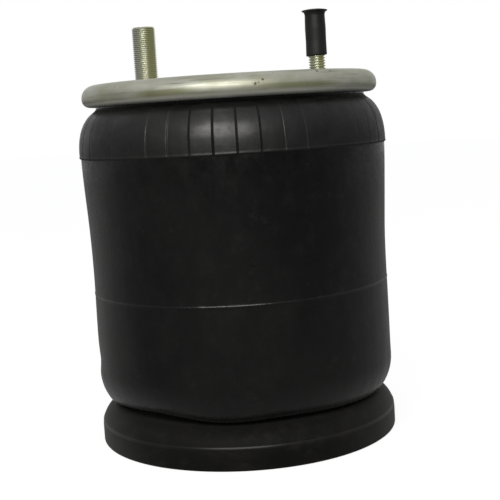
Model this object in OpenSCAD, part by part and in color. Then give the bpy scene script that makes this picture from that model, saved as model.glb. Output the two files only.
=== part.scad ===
// Rolling-lobe air spring for a truck or trailer axle, standing free and without air.
// A rubber sleeve joins a crimped steel bead plate on top to a moulded piston below.
// Sizes are in millimetres. The piston stands on z = 0 and the axis of the spring is Z.

/* [Bead plate] */
// Height of the bead plate's top face above the piston's base
free_height = 281.2; // [262:1:320]
// Outer radius of the crimped rim
plate_r = 115.5; // [114:0.1:120]
// Gauge of the steel
plate_t = 3; // [2.6:0.1:3.4]
// Upright part of the rim between its two rounded corners
rim_flat = 0.8; // [0.4:0.1:6]
// Radius over the rim's top corner
rim_top_r = 10; // [8:0.1:10]
// Radius over the rim's lower corner
rim_low_r = 6; // [4.5:0.1:6.4]
// Width of the crimped lip, from the rim's outer face to its opening
lip_w = 9.9; // [8.6:0.1:12]
// Mean radius of the pressed stiffening groove
groove_r = 48; // [42:0.5:54]
// Width of the stiffening groove
groove_w = 8; // [6:0.5:12]
// Depth of the stiffening groove
groove_depth = 1.5; // [0.5:0.1:2.5]

/* [Studs] */
// How far the axis of each stud lies inside the rim
stud_inset = 36.75; // [34:0.25:44]
// Radius of the combined mounting stud and air inlet
inlet_r = 9.525; // [8:0.1:11]
// Length of the inlet stud above the plate
inlet_l = 46.4; // [36:0.5:60]
// Radius of the tapped air port in the inlet stud
port_r = 5.56; // [5:0.02:6.5]
// Depth of the tapped air port
port_l = 18; // [12:0.5:24]
// Radius of the drilled air passage below the port
passage_r = 4; // [2.5:0.1:4.6]
// Radius of the plain mounting stud
stud_r = 6.35; // [5:0.05:8]
// Length of the mounting stud above the plate
stud_l = 41.3; // [37:0.5:44]
// How far each stud's head reaches past its shank
head_lip = 4.5; // [3:0.1:6]
// Thickness of the stud heads under the plate
head_t = 5; // [3:0.1:6]
// How far the collar that fills the plate's hole reaches past the shank
collar_lip = 1; // [0.5:0.1:2]
// Chamfer on the stud ends
stud_chamfer = 1.2; // [0.5:0.1:2]

/* [Stud cap] */
// Wall of the push-on thread protector
cap_wall = 1.35; // [1:0.05:2]
// Length of the thread protector
cap_l = 34; // [28:0.5:38]
// Gap between the stud's end and the inside of the cap
cap_air = 2; // [1:0.1:3]
// Thickness of the cap's closed end
cap_end_t = 2.2; // [1.5:0.1:3]
// How far the flared end reaches past the cap's wall
cap_flare = 1.75; // [1:0.05:3]

/* [Sleeve] */
// How far the shoulder of the sleeve stands out past the rim
shoulder_out = 4; // [2:0.1:7]
// How far the waist stands out past the fold of the rolling lobe
waist_out = 4.3; // [2:0.1:7]
// How far the flank stands out past the fold of the rolling lobe
flank_out = 5.3; // [3:0.1:8]
// Straight run of the sleeve below the crimped lip
neck_run = 1; // [0.5:0.1:2]
// Pull of the shoulder's curve where it leaves the neck
neck_pull = 4; // [2:0.5:7]
// Pull of the shoulder's curve below its crown
crown_pull = 27.9; // [20:0.1:33]
// Thickness of the outer rubber cover
cover_t = 2.2; // [1.8:0.1:2.8]
// Thickness of one layer of rubbered cord
ply_t = 0.8; // [0.6:0.1:1.1]
// Thickness of the airtight inner liner
liner_t = 1.8; // [1.4:0.1:2.4]
// Bond line between two layers
bond_gap = 0.3; // [0.25:0.05:0.5]
// Drop from the crimped lip to the widest point of the sleeve
shoulder_drop = 36.4; // [32:0.5:44]
// Height of the waist above the piston's base
waist_z = 140; // [120:1:165]
// Radius of the flank that leads into the rolling lobe
flank_r = 40; // [34:0.5:48]
// Radius of the fold at the bottom of the rolling lobe
lobe_r = 8; // [7.6:0.1:9.6]
// Radius of each bead wire
wire_r = 2.6; // [2:0.1:3]
// Rubber and clearance between the upper bead wire and the rim
bead_skin = 3.45; // [3:0.05:5]
// Number of raised panels round the shoulder
panel_count = 45; // [24:1:48]
// How far the panels stand out of the cover
panel_rise = 0.8; // [0.4:0.1:1.2]
// Width of the groove between two panels
panel_gap = 1.6; // [1.2:0.1:3]
// Length of the panels below the widest point of the sleeve
panel_tail = 2.5; // [2:0.5:12]
// Turn of the grooves from the line through the studs
panel_turn = -1; // [-4:0.5:4]
// Height of the mould's parting ridge above the piston's base
parting_z = 119; // [100:0.5:130]
// How far the parting ridge stands out
parting_rise = 0.5; // [0.3:0.1:0.8]
// Width of the parting ridge at its foot
parting_w = 2; // [1.4:0.1:3]

/* [Piston] */
// Height of the upright band round the base
band_h = 12; // [8:0.5:16]
// Radius over the shoulder of the base
shoulder_r = 18; // [15:0.5:22]
// Flat of the ledge between the shoulder and its inner fillet
ledge_flat = 0.3; // [0.1:0.1:4]
// Radius of the wall that the sleeve rolls on
piston_r = 96; // [88:0.5:104]
// Height of the piston's deck
deck_z = 128; // [110:1:140]
// Radius over the edge of the deck
deck_edge_r = 10; // [8:0.5:14]
// Thickness of the moulded walls
wall_t = 5; // [3.5:0.1:6]
// Thickness of the deck
deck_t = 10; // [7:0.5:14]
// Fillet between the ledge and the wall
ledge_fillet_r = 4; // [2:0.5:6]
// Chamfer round the foot
foot_chamfer = 1.5; // [0.5:0.1:3]
// Number of radial ribs
rib_count = 16; // [12:1:20]
// Thickness of the ribs
rib_t = 4; // [3:0.1:5]
// Radius of the hub
hub_r = 26; // [23:0.5:30]
// Thickness of the ring rib that carries the inserts
ring_t = 4.3; // [3:0.1:6]

/* [Mounting inserts] */
// Diameter of the circle of threaded inserts
insert_pcd = 114.3; // [104:0.1:124]
// Number of inserts
insert_count = 4; // [2:1:4]
// Outer radius of an insert
insert_r = 8.5; // [7.5:0.1:9.5]
// Radius of the tapped hole in an insert
insert_hole_r = 5.4; // [4.5:0.1:6]
// Length of an insert
insert_l = 24; // [22:0.5:32]
// Depth of the tapped hole
insert_depth = 20; // [12:0.5:21]
// Plastic round each insert
boss_wall = 3.5; // [2.5:0.1:5]

/* [Piston bolt] */
// Radius of the bolt's shank
bolt_r = 7.94; // [7:0.02:9]
// Width of the bolt's head across its flats
bolt_af = 23.8; // [20:0.1:25]
// Height of the bolt's head
bolt_head_h = 10; // [8:0.5:12]
// Thickness of the washer under the head
washer_t = 3; // [2:0.1:4]
// Radius of the washer
washer_r = 14.6; // [13:0.1:15]
// Clearance round the washer in its recess
recess_gap = 1; // [0.6:0.1:2]
// Height of the washer's seat above the base
seat_z = 84; // [60:1:95]
// How far the bolt screws into the end closure
bolt_grip = 15; // [10:0.5:17]

/* [End closure] */
// How far the lower bead's edge lies inside the rolling wall
bead_inset = 19; // [15:0.5:24]
// How far the closure's flange stops short of the lower bead's edge
flange_inset = 3; // [1:0.5:8]
// Gauge of the closure
closure_t = 4; // [3:0.1:5]
// Radius of the tapped boss
boss_r = 18; // [15:0.5:22]
// Height of the tapped boss
boss_h = 22; // [20:0.5:26]
// Width of the lower bead
low_bead_w = 16.7; // [14:0.1:20]
// Height of the lower bead
low_bead_h = 12.4; // [10:0.1:14]

/* [Jounce bumper] */
// Travel before the bumper meets the bead plate
jounce_travel = 70; // [60:1:80]
// How far the bumper steps in above the closure
bumper_step = 5.7; // [3:0.1:8]
// Gap between the closure's flange and the step
bumper_lift = 1; // [0.5:0.1:3]
// Height of the bevel above the step
bumper_heel = 3; // [1:0.5:5]
// Radius of the bumper's waist
bumper_waist_r = 38; // [32:0.5:40]
// Radius of the bumper's belly
bumper_belly_r = 43; // [40:0.5:46]
// Radius of the flat at the bumper's tip
bumper_tip_r = 27; // [22:0.5:32]
// Radius of the recess for the nut
bumper_bore_r = 16; // [15:0.5:18]
// Rubber between the boss and the washer
bumper_web = 10; // [8:0.5:14]
// Radius of the stud that holds the bumper
bumper_stud_r = 6; // [5:0.1:7]
// Radius of the bumper's washer
bumper_washer_r = 13.5; // [11:0.1:14.5]
// Thickness of the bumper's washer
bumper_washer_t = 3; // [2:0.1:4]
// Width of the bumper's nut across its flats
bumper_nut_af = 18; // [16:0.1:20]
// Height of the bumper's nut
bumper_nut_h = 10; // [8:0.5:12]
// How far the stud stands out of the nut
thread_out = 2; // [1:0.5:4]

/* [Fits] */
// Clearance between rubber and what it seats on
seat_gap = 0.3; // [0.2:0.05:0.4]
// Radial clearance of a threaded or pressed metal part
metal_fit = 0.1; // [0.05:0.01:0.2]
// Radial clearance of a bolt in its plain hole
bolt_clearance = 0.5; // [0.3:0.05:0.8]
// Radial clearance of the cap on its stud
cap_fit = 0.08; // [0.05:0.01:0.15]
// Gap left between the bumper and the plate at full jounce
bump_gap = 0.5; // [0.3:0.1:2]

/* [Hidden] */
$fn = 96;

// Number of straight steps in a drawn arc or curve
arc_steps = 8;
curve_steps = 12;
// Overlap that keeps a cut from ending flush with a face
cut = 1;

// Bead plate heights
plate_under = free_height - plate_t;
rim_h = rim_top_r + rim_flat + rim_low_r;
rim_low = free_height - rim_h;
lip_r = plate_r - lip_w;
lip_top = rim_low + plate_t;
stud_x = plate_r - stud_inset;

// Stud cap heights
stud_top = free_height + stud_l;
cap_top = stud_top + cap_air + cap_end_t;
cap_r = stud_r + cap_fit + cap_wall;

// Piston heights
ledge_z = band_h + shoulder_r;
pocket_top = deck_z - deck_t;
wall_in_r = piston_r - wall_t;
ledge_root_r = piston_r + ledge_fillet_r;
shoulder_c = [ledge_root_r + ledge_flat, band_h];
base_r = ledge_root_r + ledge_flat + shoulder_r;
recess_r = washer_r + recess_gap;
bolt_hole_r = bolt_r + bolt_clearance;
insert_circle_r = insert_pcd / 2;
insert_boss_r = insert_r + metal_fit + boss_wall;

// The sleeve's wall, from its outer face inwards, as the depth where each layer starts
outer_ply_at = cover_t + bond_gap;
inner_ply_at = outer_ply_at + ply_t + bond_gap;
liner_at = inner_ply_at + ply_t + bond_gap;
sleeve_t = liner_at + liner_t;

// Places on the sleeve's outer face
neck_r = lip_r - seat_gap;
neck_low = rim_low - neck_run;
widest_z = rim_low - shoulder_drop;
leg_r = piston_r + seat_gap;
lobe_c_r = leg_r + lobe_r;
lobe_z = ledge_z + seat_gap + lobe_r;
sleeve_top_r = plate_r + shoulder_out;
sleeve_waist_r = lobe_c_r + lobe_r + waist_out;
sleeve_low_r = lobe_c_r + lobe_r + flank_out;
flank_turn = acos((flank_r - lobe_r - flank_out) / (flank_r - lobe_r));
flank_z = lobe_z + (flank_r - lobe_r) * sin(flank_turn);

// End closure and bumper heights
low_bead_z = deck_z + seat_gap;
low_bead_out = piston_r - bead_inset;
low_bead_in = low_bead_out - low_bead_w;
spool_r = low_bead_in - seat_gap;
flange_r = low_bead_out - flange_inset;
flange_under = low_bead_z + low_bead_h + seat_gap;
flange_top = flange_under + closure_t;
boss_top = deck_z + boss_h;
bumper_top = plate_under - jounce_travel - bump_gap;
bumper_seat = boss_top + seat_gap;
bumper_web_top = bumper_seat + bumper_web;
bumper_stud_top = bumper_web_top + bumper_washer_t + bumper_nut_h + thread_out;

// Bead wire centres
upper_wire = [plate_r - plate_t - bead_skin - wire_r, (lip_top + plate_under) / 2];
lower_wire = [(low_bead_in + low_bead_out) / 2, low_bead_z + low_bead_h / 2];

// Points on an arc about a centre, from one angle to another, both ends included
function arc(c, r, from, to, n = arc_steps) =
    [for (i = [0 : n]) c + r * [cos(from + (to - from) * i / n), sin(from + (to - from) * i / n)]];

// Points on a cubic curve, without its first one
function curve(p, n = curve_steps) =
    [for (i = [1 : n]) let (t = i / n, s = 1 - t)
        s * s * s * p[0] + 3 * s * s * t * p[1] + 3 * s * t * t * p[2] + t * t * t * p[3]];

// Radius part of the way along a leg that is upright at both ends
function leg_radius(r0, r1, t) = r0 + (r1 - r0) * (1 - cos(180 * t)) / 2;

// Points between two radii along the leg, without the first one
function leg(r0, z0, r1, z1, n = arc_steps) =
    [for (i = [1 : n]) [leg_radius(r0, r1, i / n), z0 + (z1 - z0) * i / n]];

// The sleeve's shoulder from below the crimped lip to its widest point
shoulder = curve([[neck_r, neck_low], [neck_r, neck_low - neck_pull],
    [sleeve_top_r, widest_z + crown_pull], [sleeve_top_r, widest_z]]);

// The sleeve's outer face from the upper bead down the side, round the lobe and over the deck
// to the lower bead
sleeve_face = concat(
    [[neck_r, lip_top + seat_gap], [neck_r, neck_low]],
    shoulder,
    leg(sleeve_top_r, widest_z, sleeve_waist_r, waist_z),
    leg(sleeve_waist_r, waist_z, sleeve_low_r, flank_z),
    [for (p = arc([sleeve_low_r - flank_r, flank_z], flank_r, 0, -flank_turn))
        if (p[1] < flank_z) p],
    [for (p = arc([lobe_c_r, lobe_z], lobe_r, -flank_turn, -180, 2 * arc_steps))
        if (p[0] < lobe_c_r + lobe_r * cos(flank_turn)) p],
    arc([piston_r - deck_edge_r, deck_z - deck_edge_r], deck_edge_r + seat_gap, 0, 90),
    [[low_bead_out, low_bead_z]]);

// Unit normal towards the chamber at point i of a path
function inward(path, i) =
    let (a = path[max(i - 1, 0)], b = path[min(i + 1, len(path) - 1)], d = b - a)
    [d[1], -d[0]] / norm(d);

// A path moved towards the chamber
function sunk(path, depth) = [for (i = [0 : len(path) - 1]) path[i] + depth * inward(path, i)];

function reversed(list) = [for (i = [len(list) - 1 : -1 : 0]) list[i]];

// A layer of the sleeve's wall between two depths, as an outline. Layers under the cover
// stop short of both beads.
function layer(depth, t) = concat(sunk(sleeve_face, depth), reversed(sunk(sleeve_face, depth + t)));

module sleeve_layer(depth, t) {
    rotate_extrude()
        difference() {
            polygon(layer(depth, t));
            translate([neck_r - sleeve_t - cut, lip_top])
                square([sleeve_t + 2 * cut, rim_h]);
            translate([0, deck_z])
                square([low_bead_out + bond_gap, deck_z]);
        }
}

// Upper bead from its inner face over the top to its foot, shaped to the rim's inner corners
upper_bead = concat(
    [[neck_r - sleeve_t, lip_top + seat_gap], [neck_r - sleeve_t, plate_under - seat_gap]],
    arc([plate_r - rim_top_r, free_height - rim_top_r], rim_top_r - plate_t - seat_gap, 90, 0),
    arc([plate_r - rim_low_r, rim_low + rim_low_r], rim_low_r - plate_t - seat_gap, 0, -90));

lower_bead = [[low_bead_in, low_bead_z], [low_bead_in, low_bead_z + low_bead_h],
    [low_bead_out, low_bead_z + low_bead_h]];

// Raised panels that stiffen the shoulder, parted by upright grooves
module shoulder_panels() {
    face = concat(shoulder, [[sleeve_top_r, widest_z - panel_tail]]);
    difference() {
        rotate_extrude()
            polygon(concat(sunk(face, -panel_rise), reversed(sunk(face, cover_t / 2))));
        for (i = [0 : panel_count - 1])
            rotate(360 * i / panel_count + panel_turn)
                translate([neck_r - cover_t, -panel_gap / 2, widest_z - panel_tail - cut])
                    cube([sleeve_top_r, panel_gap, free_height]);
    }
}

// Fine ridge that the two halves of the mould leave
module parting_ridge() {
    r = leg_radius(sleeve_waist_r, sleeve_low_r, (waist_z - parting_z) / (waist_z - flank_z));
    rotate_extrude()
        translate([r, parting_z])
            polygon([[-cover_t / 2, -parting_w / 2], [parting_rise, -parting_w / 6],
                [parting_rise, parting_w / 6], [-cover_t / 2, parting_w / 2]]);
}

// Outer rubber cover with a moulded bead at each end
module sleeve_cover() {
    color("#232325") {
        rotate_extrude()
            difference() {
                polygon(concat(sleeve_face, lower_bead, reversed(sunk(sleeve_face, cover_t)),
                    upper_bead));
                translate(upper_wire) circle(wire_r + bond_gap);
                translate(lower_wire) circle(wire_r + bond_gap);
            }
        shoulder_panels();
        parting_ridge();
    }
}

module outer_ply() {
    color("#8a7a5c") sleeve_layer(outer_ply_at, ply_t);
}

module inner_ply() {
    color("#9c8c6c") sleeve_layer(inner_ply_at, ply_t);
}

module inner_liner() {
    color("#1a1a1b") sleeve_layer(liner_at, liner_t);
}

module bead_wire(centre) {
    color("#9a9a92")
        rotate_extrude()
            translate(centre) circle(wire_r);
}

module upper_bead_wire() {
    bead_wire(upper_wire);
}

module lower_bead_wire() {
    bead_wire(lower_wire);
}

// One face of the pressed plate from the centre to the start of the rim's corner
function pressed_face(z) =
    [[0, z], [groove_r - groove_w / 2, z], [groove_r - groove_w / 4, z - groove_depth],
        [groove_r + groove_w / 4, z - groove_depth], [groove_r + groove_w / 2, z]];

module stud_hole(x, r) {
    translate([x, 0, plate_under - cut])
        cylinder(r = r + collar_lip + metal_fit, h = plate_t + 2 * cut);
}

// Steel plate with its edge curled down and crimped round the sleeve's bead
module bead_plate() {
    top_c = [plate_r - rim_top_r, free_height - rim_top_r];
    low_c = [plate_r - rim_low_r, rim_low + rim_low_r];
    color("#a7a896")
        difference() {
            rotate_extrude()
                polygon(concat(
                    pressed_face(free_height),
                    arc(top_c, rim_top_r, 90, 0),
                    arc(low_c, rim_low_r, 0, -90),
                    [[lip_r, rim_low], [lip_r, lip_top]],
                    arc(low_c, rim_low_r - plate_t, -90, 0),
                    arc(top_c, rim_top_r - plate_t, 0, 90),
                    reversed(pressed_face(plate_under))));
            stud_hole(-stud_x, inlet_r);
            stud_hole(stud_x, stud_r);
        }
}

// A stud with a round head that seats under the plate and a collar that fills the plate's hole
module headed_stud(r, l) {
    rotate_extrude()
        polygon([[0, plate_under - head_t], [r + head_lip, plate_under - head_t],
            [r + head_lip, plate_under], [r + collar_lip, plate_under],
            [r + collar_lip, free_height], [r, free_height],
            [r, free_height + l - stud_chamfer], [r - stud_chamfer, free_height + l],
            [0, free_height + l]]);
}

// The larger stud carries the air: a tapped port above a drilled passage
module inlet_stud() {
    top = free_height + inlet_l;
    color("#a3a48c")
        translate([-stud_x, 0, 0])
            difference() {
                headed_stud(inlet_r, inlet_l);
                translate([0, 0, top - port_l])
                    cylinder(r = port_r, h = port_l + cut);
                translate([0, 0, plate_under - head_t - cut])
                    cylinder(r = passage_r, h = top - port_l - plate_under + head_t + 2 * cut);
            }
}

module mounting_stud() {
    color("#a3a48c")
        translate([stud_x, 0, 0]) headed_stud(stud_r, stud_l);
}

// Soft protector pushed over the plain stud's thread
module stud_cap() {
    cap_low = cap_top - cap_l;
    bore_r = stud_r + cap_fit;
    color("#1d1d1e")
        translate([stud_x, 0, 0])
            rotate_extrude()
                polygon([[bore_r, cap_low], [cap_r, cap_low],
                    [cap_r, cap_top - cap_end_t - cap_flare], [cap_r + cap_flare, cap_top - cap_end_t],
                    [cap_r + cap_flare, cap_top - cap_end_t / 2], [cap_r, cap_top], [0, cap_top],
                    [0, cap_top - cap_end_t], [bore_r, cap_top - cap_end_t]]);
}

// The piston is one moulding, open below. Its wall, skirt, hub, insert ring and ribs are nodes
// of their own. The wall carries the deck and the root of the ledge.
module piston() {
    color("#262628")
        rotate_extrude()
            polygon(concat(
                [[wall_in_r, 0], [piston_r, 0], [piston_r, ledge_z - wall_t],
                    [ledge_root_r, ledge_z - wall_t]],
                arc([ledge_root_r, ledge_z + ledge_fillet_r], ledge_fillet_r, 270, 180),
                arc([piston_r - deck_edge_r, deck_z - deck_edge_r], deck_edge_r, 0, 90),
                [[bolt_hole_r, deck_z], [bolt_hole_r, pocket_top], [wall_in_r, pocket_top]]));
}

// Foot, upright band and shoulder
module piston_skirt() {
    color("#28282a")
        rotate_extrude()
            polygon(concat(
                [[base_r - wall_t, 0], [base_r - foot_chamfer, 0], [base_r, foot_chamfer]],
                arc(shoulder_c, shoulder_r, 0, 90),
                [[ledge_root_r, ledge_z], [ledge_root_r, ledge_z - wall_t]],
                arc(shoulder_c, shoulder_r - wall_t, 90, 0)));
}

// Hub with a recessed seat for the bolt's head
module piston_hub() {
    color("#2c2c2e")
        rotate_extrude()
            polygon([[recess_r, 0], [hub_r, 0], [hub_r, pocket_top], [bolt_hole_r, pocket_top],
                [bolt_hole_r, seat_z], [recess_r, seat_z]]);
}

module insert_places() {
    for (i = [0 : insert_count - 1])
        rotate(45 + 360 * i / insert_count)
            translate([insert_circle_r, 0])
                children();
}

// Ring rib with a boss for each insert
module piston_ring() {
    color("#2a2a2c")
        difference() {
            union() {
                difference() {
                    cylinder(r = insert_circle_r + ring_t / 2, h = pocket_top);
                    translate([0, 0, -cut])
                        cylinder(r = insert_circle_r - ring_t / 2, h = pocket_top + 2 * cut);
                }
                insert_places() cylinder(r = insert_boss_r, h = pocket_top);
            }
            translate([0, 0, -cut])
                insert_places() cylinder(r = insert_r + metal_fit, h = insert_l + cut);
        }
}

// Radial ribs as seen from below, between two radii
module rib_plan(from, to) {
    for (i = [0 : rib_count - 1])
        rotate(360 * i / rib_count)
            translate([from, -rib_t / 2])
                square([to - from, rib_t]);
}

// Ribs from the hub through the ring to the wall, and on under the shoulder
module piston_ribs() {
    color("#2e2e30") {
        linear_extrude(pocket_top)
            difference() {
                intersection() {
                    rib_plan(hub_r - cut, piston_r);
                    circle(wall_in_r);
                }
                circle(hub_r);
                difference() {
                    circle(insert_circle_r + ring_t / 2);
                    circle(insert_circle_r - ring_t / 2);
                }
                insert_places() circle(insert_boss_r);
            }
        intersection() {
            rotate_extrude()
                polygon(concat([[piston_r, 0], [base_r - wall_t, 0]],
                    arc(shoulder_c, shoulder_r - wall_t, 0, 90),
                    [[piston_r, ledge_z - wall_t]]));
            linear_extrude(ledge_z) rib_plan(wall_in_r, base_r);
        }
    }
}

// Threaded steel inserts flush with the foot
module base_inserts() {
    color("#b3a36a")
        insert_places()
            difference() {
                cylinder(r = insert_r, h = insert_l);
                translate([0, 0, -cut]) cylinder(r = insert_hole_r, h = insert_depth + cut);
            }
}

module hex(af, h) {
    cylinder(r = af / sqrt(3), h = h, $fn = 6);
}

// Bolt that holds the end closure down on the deck, put in from below
module piston_bolt() {
    head_top = seat_z - washer_t;
    color("#8f8f88") {
        translate([0, 0, head_top - bolt_head_h]) hex(bolt_af, bolt_head_h);
        translate([0, 0, head_top]) cylinder(r = bolt_r, h = deck_z + bolt_grip - head_top);
    }
}

module piston_washer() {
    color("#9c9c94")
        translate([0, 0, seat_z - washer_t])
            difference() {
                cylinder(r = washer_r, h = washer_t);
                translate([0, 0, -cut])
                    cylinder(r = bolt_hole_r, h = washer_t + 2 * cut);
            }
}

// Pan-shaped closure: spool inside the lower bead, flange over it, tapped boss and stud
module end_closure() {
    edge = closure_t / 2;
    color("#7f807c")
        rotate_extrude()
            polygon([
                [bolt_r + metal_fit, deck_z], [spool_r, deck_z], [spool_r, flange_under],
                [flange_r, flange_under], [flange_r, flange_top - edge],
                [flange_r - edge, flange_top], [spool_r - closure_t, flange_top],
                [spool_r - closure_t, deck_z + closure_t], [boss_r, deck_z + closure_t],
                [boss_r, boss_top], [bumper_stud_r, boss_top],
                [bumper_stud_r, bumper_stud_top], [0, bumper_stud_top],
                [0, deck_z + bolt_grip + cut], [bolt_r + metal_fit, deck_z + bolt_grip + cut]]);
}

// Rubber stop seated in the closure's pan
module bumper() {
    foot_r = spool_r - closure_t - seat_gap;
    foot_z = deck_z + closure_t + seat_gap;
    step_z = flange_top + bumper_lift;
    heel_r = foot_r - bumper_step;
    rise = (bumper_top - step_z) / 5;
    color("#2b2b2d")
        rotate_extrude()
            polygon(concat(
                [[boss_r + seat_gap, foot_z], [foot_r, foot_z], [foot_r, step_z]],
                curve([[heel_r, step_z + bumper_heel], [heel_r, step_z + rise],
                    [bumper_waist_r, step_z + rise], [bumper_waist_r, step_z + 2 * rise]]),
                curve([[bumper_waist_r, step_z + 2 * rise], [bumper_waist_r, step_z + 2.6 * rise],
                    [bumper_belly_r, step_z + 2.4 * rise], [bumper_belly_r, step_z + 3 * rise]]),
                curve([[bumper_belly_r, step_z + 3 * rise], [bumper_belly_r, step_z + 4.2 * rise],
                    [(bumper_belly_r + bumper_tip_r) / 2, bumper_top], [bumper_tip_r, bumper_top]]),
                [[bumper_bore_r, bumper_top], [bumper_bore_r, bumper_web_top],
                    [bumper_stud_r + bolt_clearance, bumper_web_top],
                    [bumper_stud_r + bolt_clearance, bumper_seat],
                    [boss_r + seat_gap, bumper_seat]]));
}

module bumper_washer() {
    color("#9c9c94")
        translate([0, 0, bumper_web_top])
            difference() {
                cylinder(r = bumper_washer_r, h = bumper_washer_t);
                translate([0, 0, -cut])
                    cylinder(r = bumper_stud_r + bolt_clearance, h = bumper_washer_t + 2 * cut);
            }
}

module bumper_nut() {
    color("#8f8f88")
        translate([0, 0, bumper_web_top + bumper_washer_t])
            difference() {
                hex(bumper_nut_af, bumper_nut_h);
                translate([0, 0, -cut])
                    cylinder(r = bumper_stud_r + metal_fit, h = bumper_nut_h + 2 * cut);
            }
}

piston();
piston_skirt();
piston_hub();
piston_ring();
piston_ribs();
base_inserts();
piston_bolt();
piston_washer();
end_closure();
lower_bead_wire();
bumper();
bumper_washer();
bumper_nut();
sleeve_cover();
outer_ply();
inner_ply();
inner_liner();
bead_plate();
upper_bead_wire();
inlet_stud();
mounting_stud();
stud_cap();
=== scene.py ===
import math
import bpy
from mathutils import Matrix, Vector, noise


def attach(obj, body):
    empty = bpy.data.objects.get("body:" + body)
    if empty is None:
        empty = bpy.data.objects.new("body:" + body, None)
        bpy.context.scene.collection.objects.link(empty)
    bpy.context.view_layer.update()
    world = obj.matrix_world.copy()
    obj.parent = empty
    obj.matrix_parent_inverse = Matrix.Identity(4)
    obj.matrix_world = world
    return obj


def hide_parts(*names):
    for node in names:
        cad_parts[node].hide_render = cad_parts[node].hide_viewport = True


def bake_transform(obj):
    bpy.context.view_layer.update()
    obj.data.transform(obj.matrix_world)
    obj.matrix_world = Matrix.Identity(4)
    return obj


# Rolling-lobe air spring, dressed for the photograph. Lengths are written in millimetres
# and become metres through mm. Heights are above the floor that the piston stands on.

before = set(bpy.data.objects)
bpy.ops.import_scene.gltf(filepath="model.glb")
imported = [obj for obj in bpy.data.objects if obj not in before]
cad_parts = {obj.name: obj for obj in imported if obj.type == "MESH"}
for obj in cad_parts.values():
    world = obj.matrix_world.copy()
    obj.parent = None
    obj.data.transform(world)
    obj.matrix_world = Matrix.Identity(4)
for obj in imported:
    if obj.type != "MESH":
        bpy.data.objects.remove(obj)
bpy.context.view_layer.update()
mm = 0.001
fullTurn = 2 * math.pi

# Camera, light and floor

photoCamera = {
    "azimuth": 31.4,      # degrees round from the front
    "distance": 860.4,
    "height": 252.5,
    "yaw": 0.0102,
    "pitch": 0.1256,
    "roll": -0.0612,
    "focal": 1078.2,      # in pixels of the picture
    "pixels": 500,
    "sensor": 36,
}

studio = {
    "ambient": 0.55,
    # what shiny surfaces see: the room before the object, the walls behind it, the ceiling
    "room": 0.05, "walls": 0.36, "ceiling": 0.52,
    "roomTo": -0.7, "wallsFrom": 0.6, "ceilingFrom": 0.8,   # cosines where each of them ends
    "backdropFrom": 0.8, "backdropTo": 0.97,   # cosines where the white backdrop begins
    "floorSeen": 0.95, "floorBounce": 0.12,    # paleness to the camera and to the object
    "floorShare": 0.78, "floorGlow": 1.12, "floorSize": 12,
    # share of the white that reflections see: beside the piston, and out on the floor (metres)
    "mirroredNear": 0.2, "mirroredFar": 0.08, "nearUpTo": 0.12, "farFrom": 0.3,
    # the softbox: degrees to the right of the camera and above the horizon, metres, watts
    "boxTurn": -8, "boxLift": 30, "boxAway": 1.6, "boxWide": 1.25, "boxHigh": 0.6,
    "boxPower": 14.5, "boxColour": (1, 0.985, 0.95), "boxAim": 0.16,
}


def aimCamera(c):
    forward = Vector((math.sin(c["yaw"]) * math.cos(c["pitch"]),
                      math.cos(c["yaw"]) * math.cos(c["pitch"]), -math.sin(c["pitch"])))
    level = Vector((math.cos(c["yaw"]), -math.sin(c["yaw"]), 0))
    upright = level.cross(forward)
    across = math.cos(c["roll"]) * level + math.sin(c["roll"]) * upright
    above = -math.sin(c["roll"]) * level + math.cos(c["roll"]) * upright
    pose = Matrix((across, above, -forward)).transposed().to_4x4()
    pose.translation = Vector((0, -c["distance"] * mm, c["height"] * mm))
    bpy.ops.object.camera_add()
    camera = bpy.context.object
    camera.name = "photoCamera"
    camera.data.sensor_width = c["sensor"]
    camera.data.lens = c["focal"] * c["sensor"] / c["pixels"]
    camera.matrix_world = Matrix.Rotation(math.radians(c["azimuth"]), 4, "Z") @ pose
    bpy.context.scene.camera = camera


def addSoftbox():
    s = studio
    heading = math.radians(photoCamera["azimuth"] + s["boxTurn"] - 90)
    rise = math.radians(s["boxLift"])
    target = Vector((0, 0, s["boxAim"]))
    place = target + s["boxAway"] * Vector((math.cos(heading) * math.cos(rise),
                                            math.sin(heading) * math.cos(rise), math.sin(rise)))
    bpy.ops.object.light_add(type="AREA", location=place)
    box = bpy.context.object
    box.name = "keySoftbox"
    box.data.shape = "RECTANGLE"
    box.data.size = s["boxWide"]
    box.data.size_y = s["boxHigh"]
    box.data.energy = s["boxPower"]
    box.data.color = s["boxColour"]
    box.rotation_euler = (target - place).to_track_quat("-Z", "Y").to_euler()


def put(tree, value, socket):
    # links another node's output, and sets anything else as the socket's own value
    if isinstance(value, bpy.types.NodeSocket):
        tree.links.new(value, socket)
    else:
        socket.default_value = value


def nodeFor(tree, kind, **settings):
    # a setting is one of the node's options or, where it has none of that name, an input
    node = tree.nodes.new("ShaderNode" + kind)
    for key, value in settings.items():
        if hasattr(node, key):
            setattr(node, key, value)
        else:
            put(tree, value, node.inputs[key.replace("_", " ")])
    return node


def maths(tree, operation, *values):
    node = nodeFor(tree, "Math", operation=operation)
    for value, socket in zip(values, node.inputs):
        put(tree, value, socket)
    return node.outputs[0]


def vectors(tree, operation, *values):
    node = nodeFor(tree, "VectorMath", operation=operation)
    for value, socket in zip(values, node.inputs):
        put(tree, value, socket)
    single = operation in ("LENGTH", "DISTANCE", "DOT_PRODUCT")
    return node.outputs["Value" if single else "Vector"]


def parts(tree, vector):
    return nodeFor(tree, "SeparateXYZ", Vector=vector).outputs


def ranged(tree, value, start, end, low=0.0, high=1.0):
    # low at start and below, high at end and beyond
    return nodeFor(tree, "MapRange", Value=value, From_Min=start, From_Max=end, To_Min=low,
                   To_Max=high).outputs["Result"]


def between(tree, amount, low, high):
    return ranged(tree, amount, 0.0, 1.0, low, high)


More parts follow.
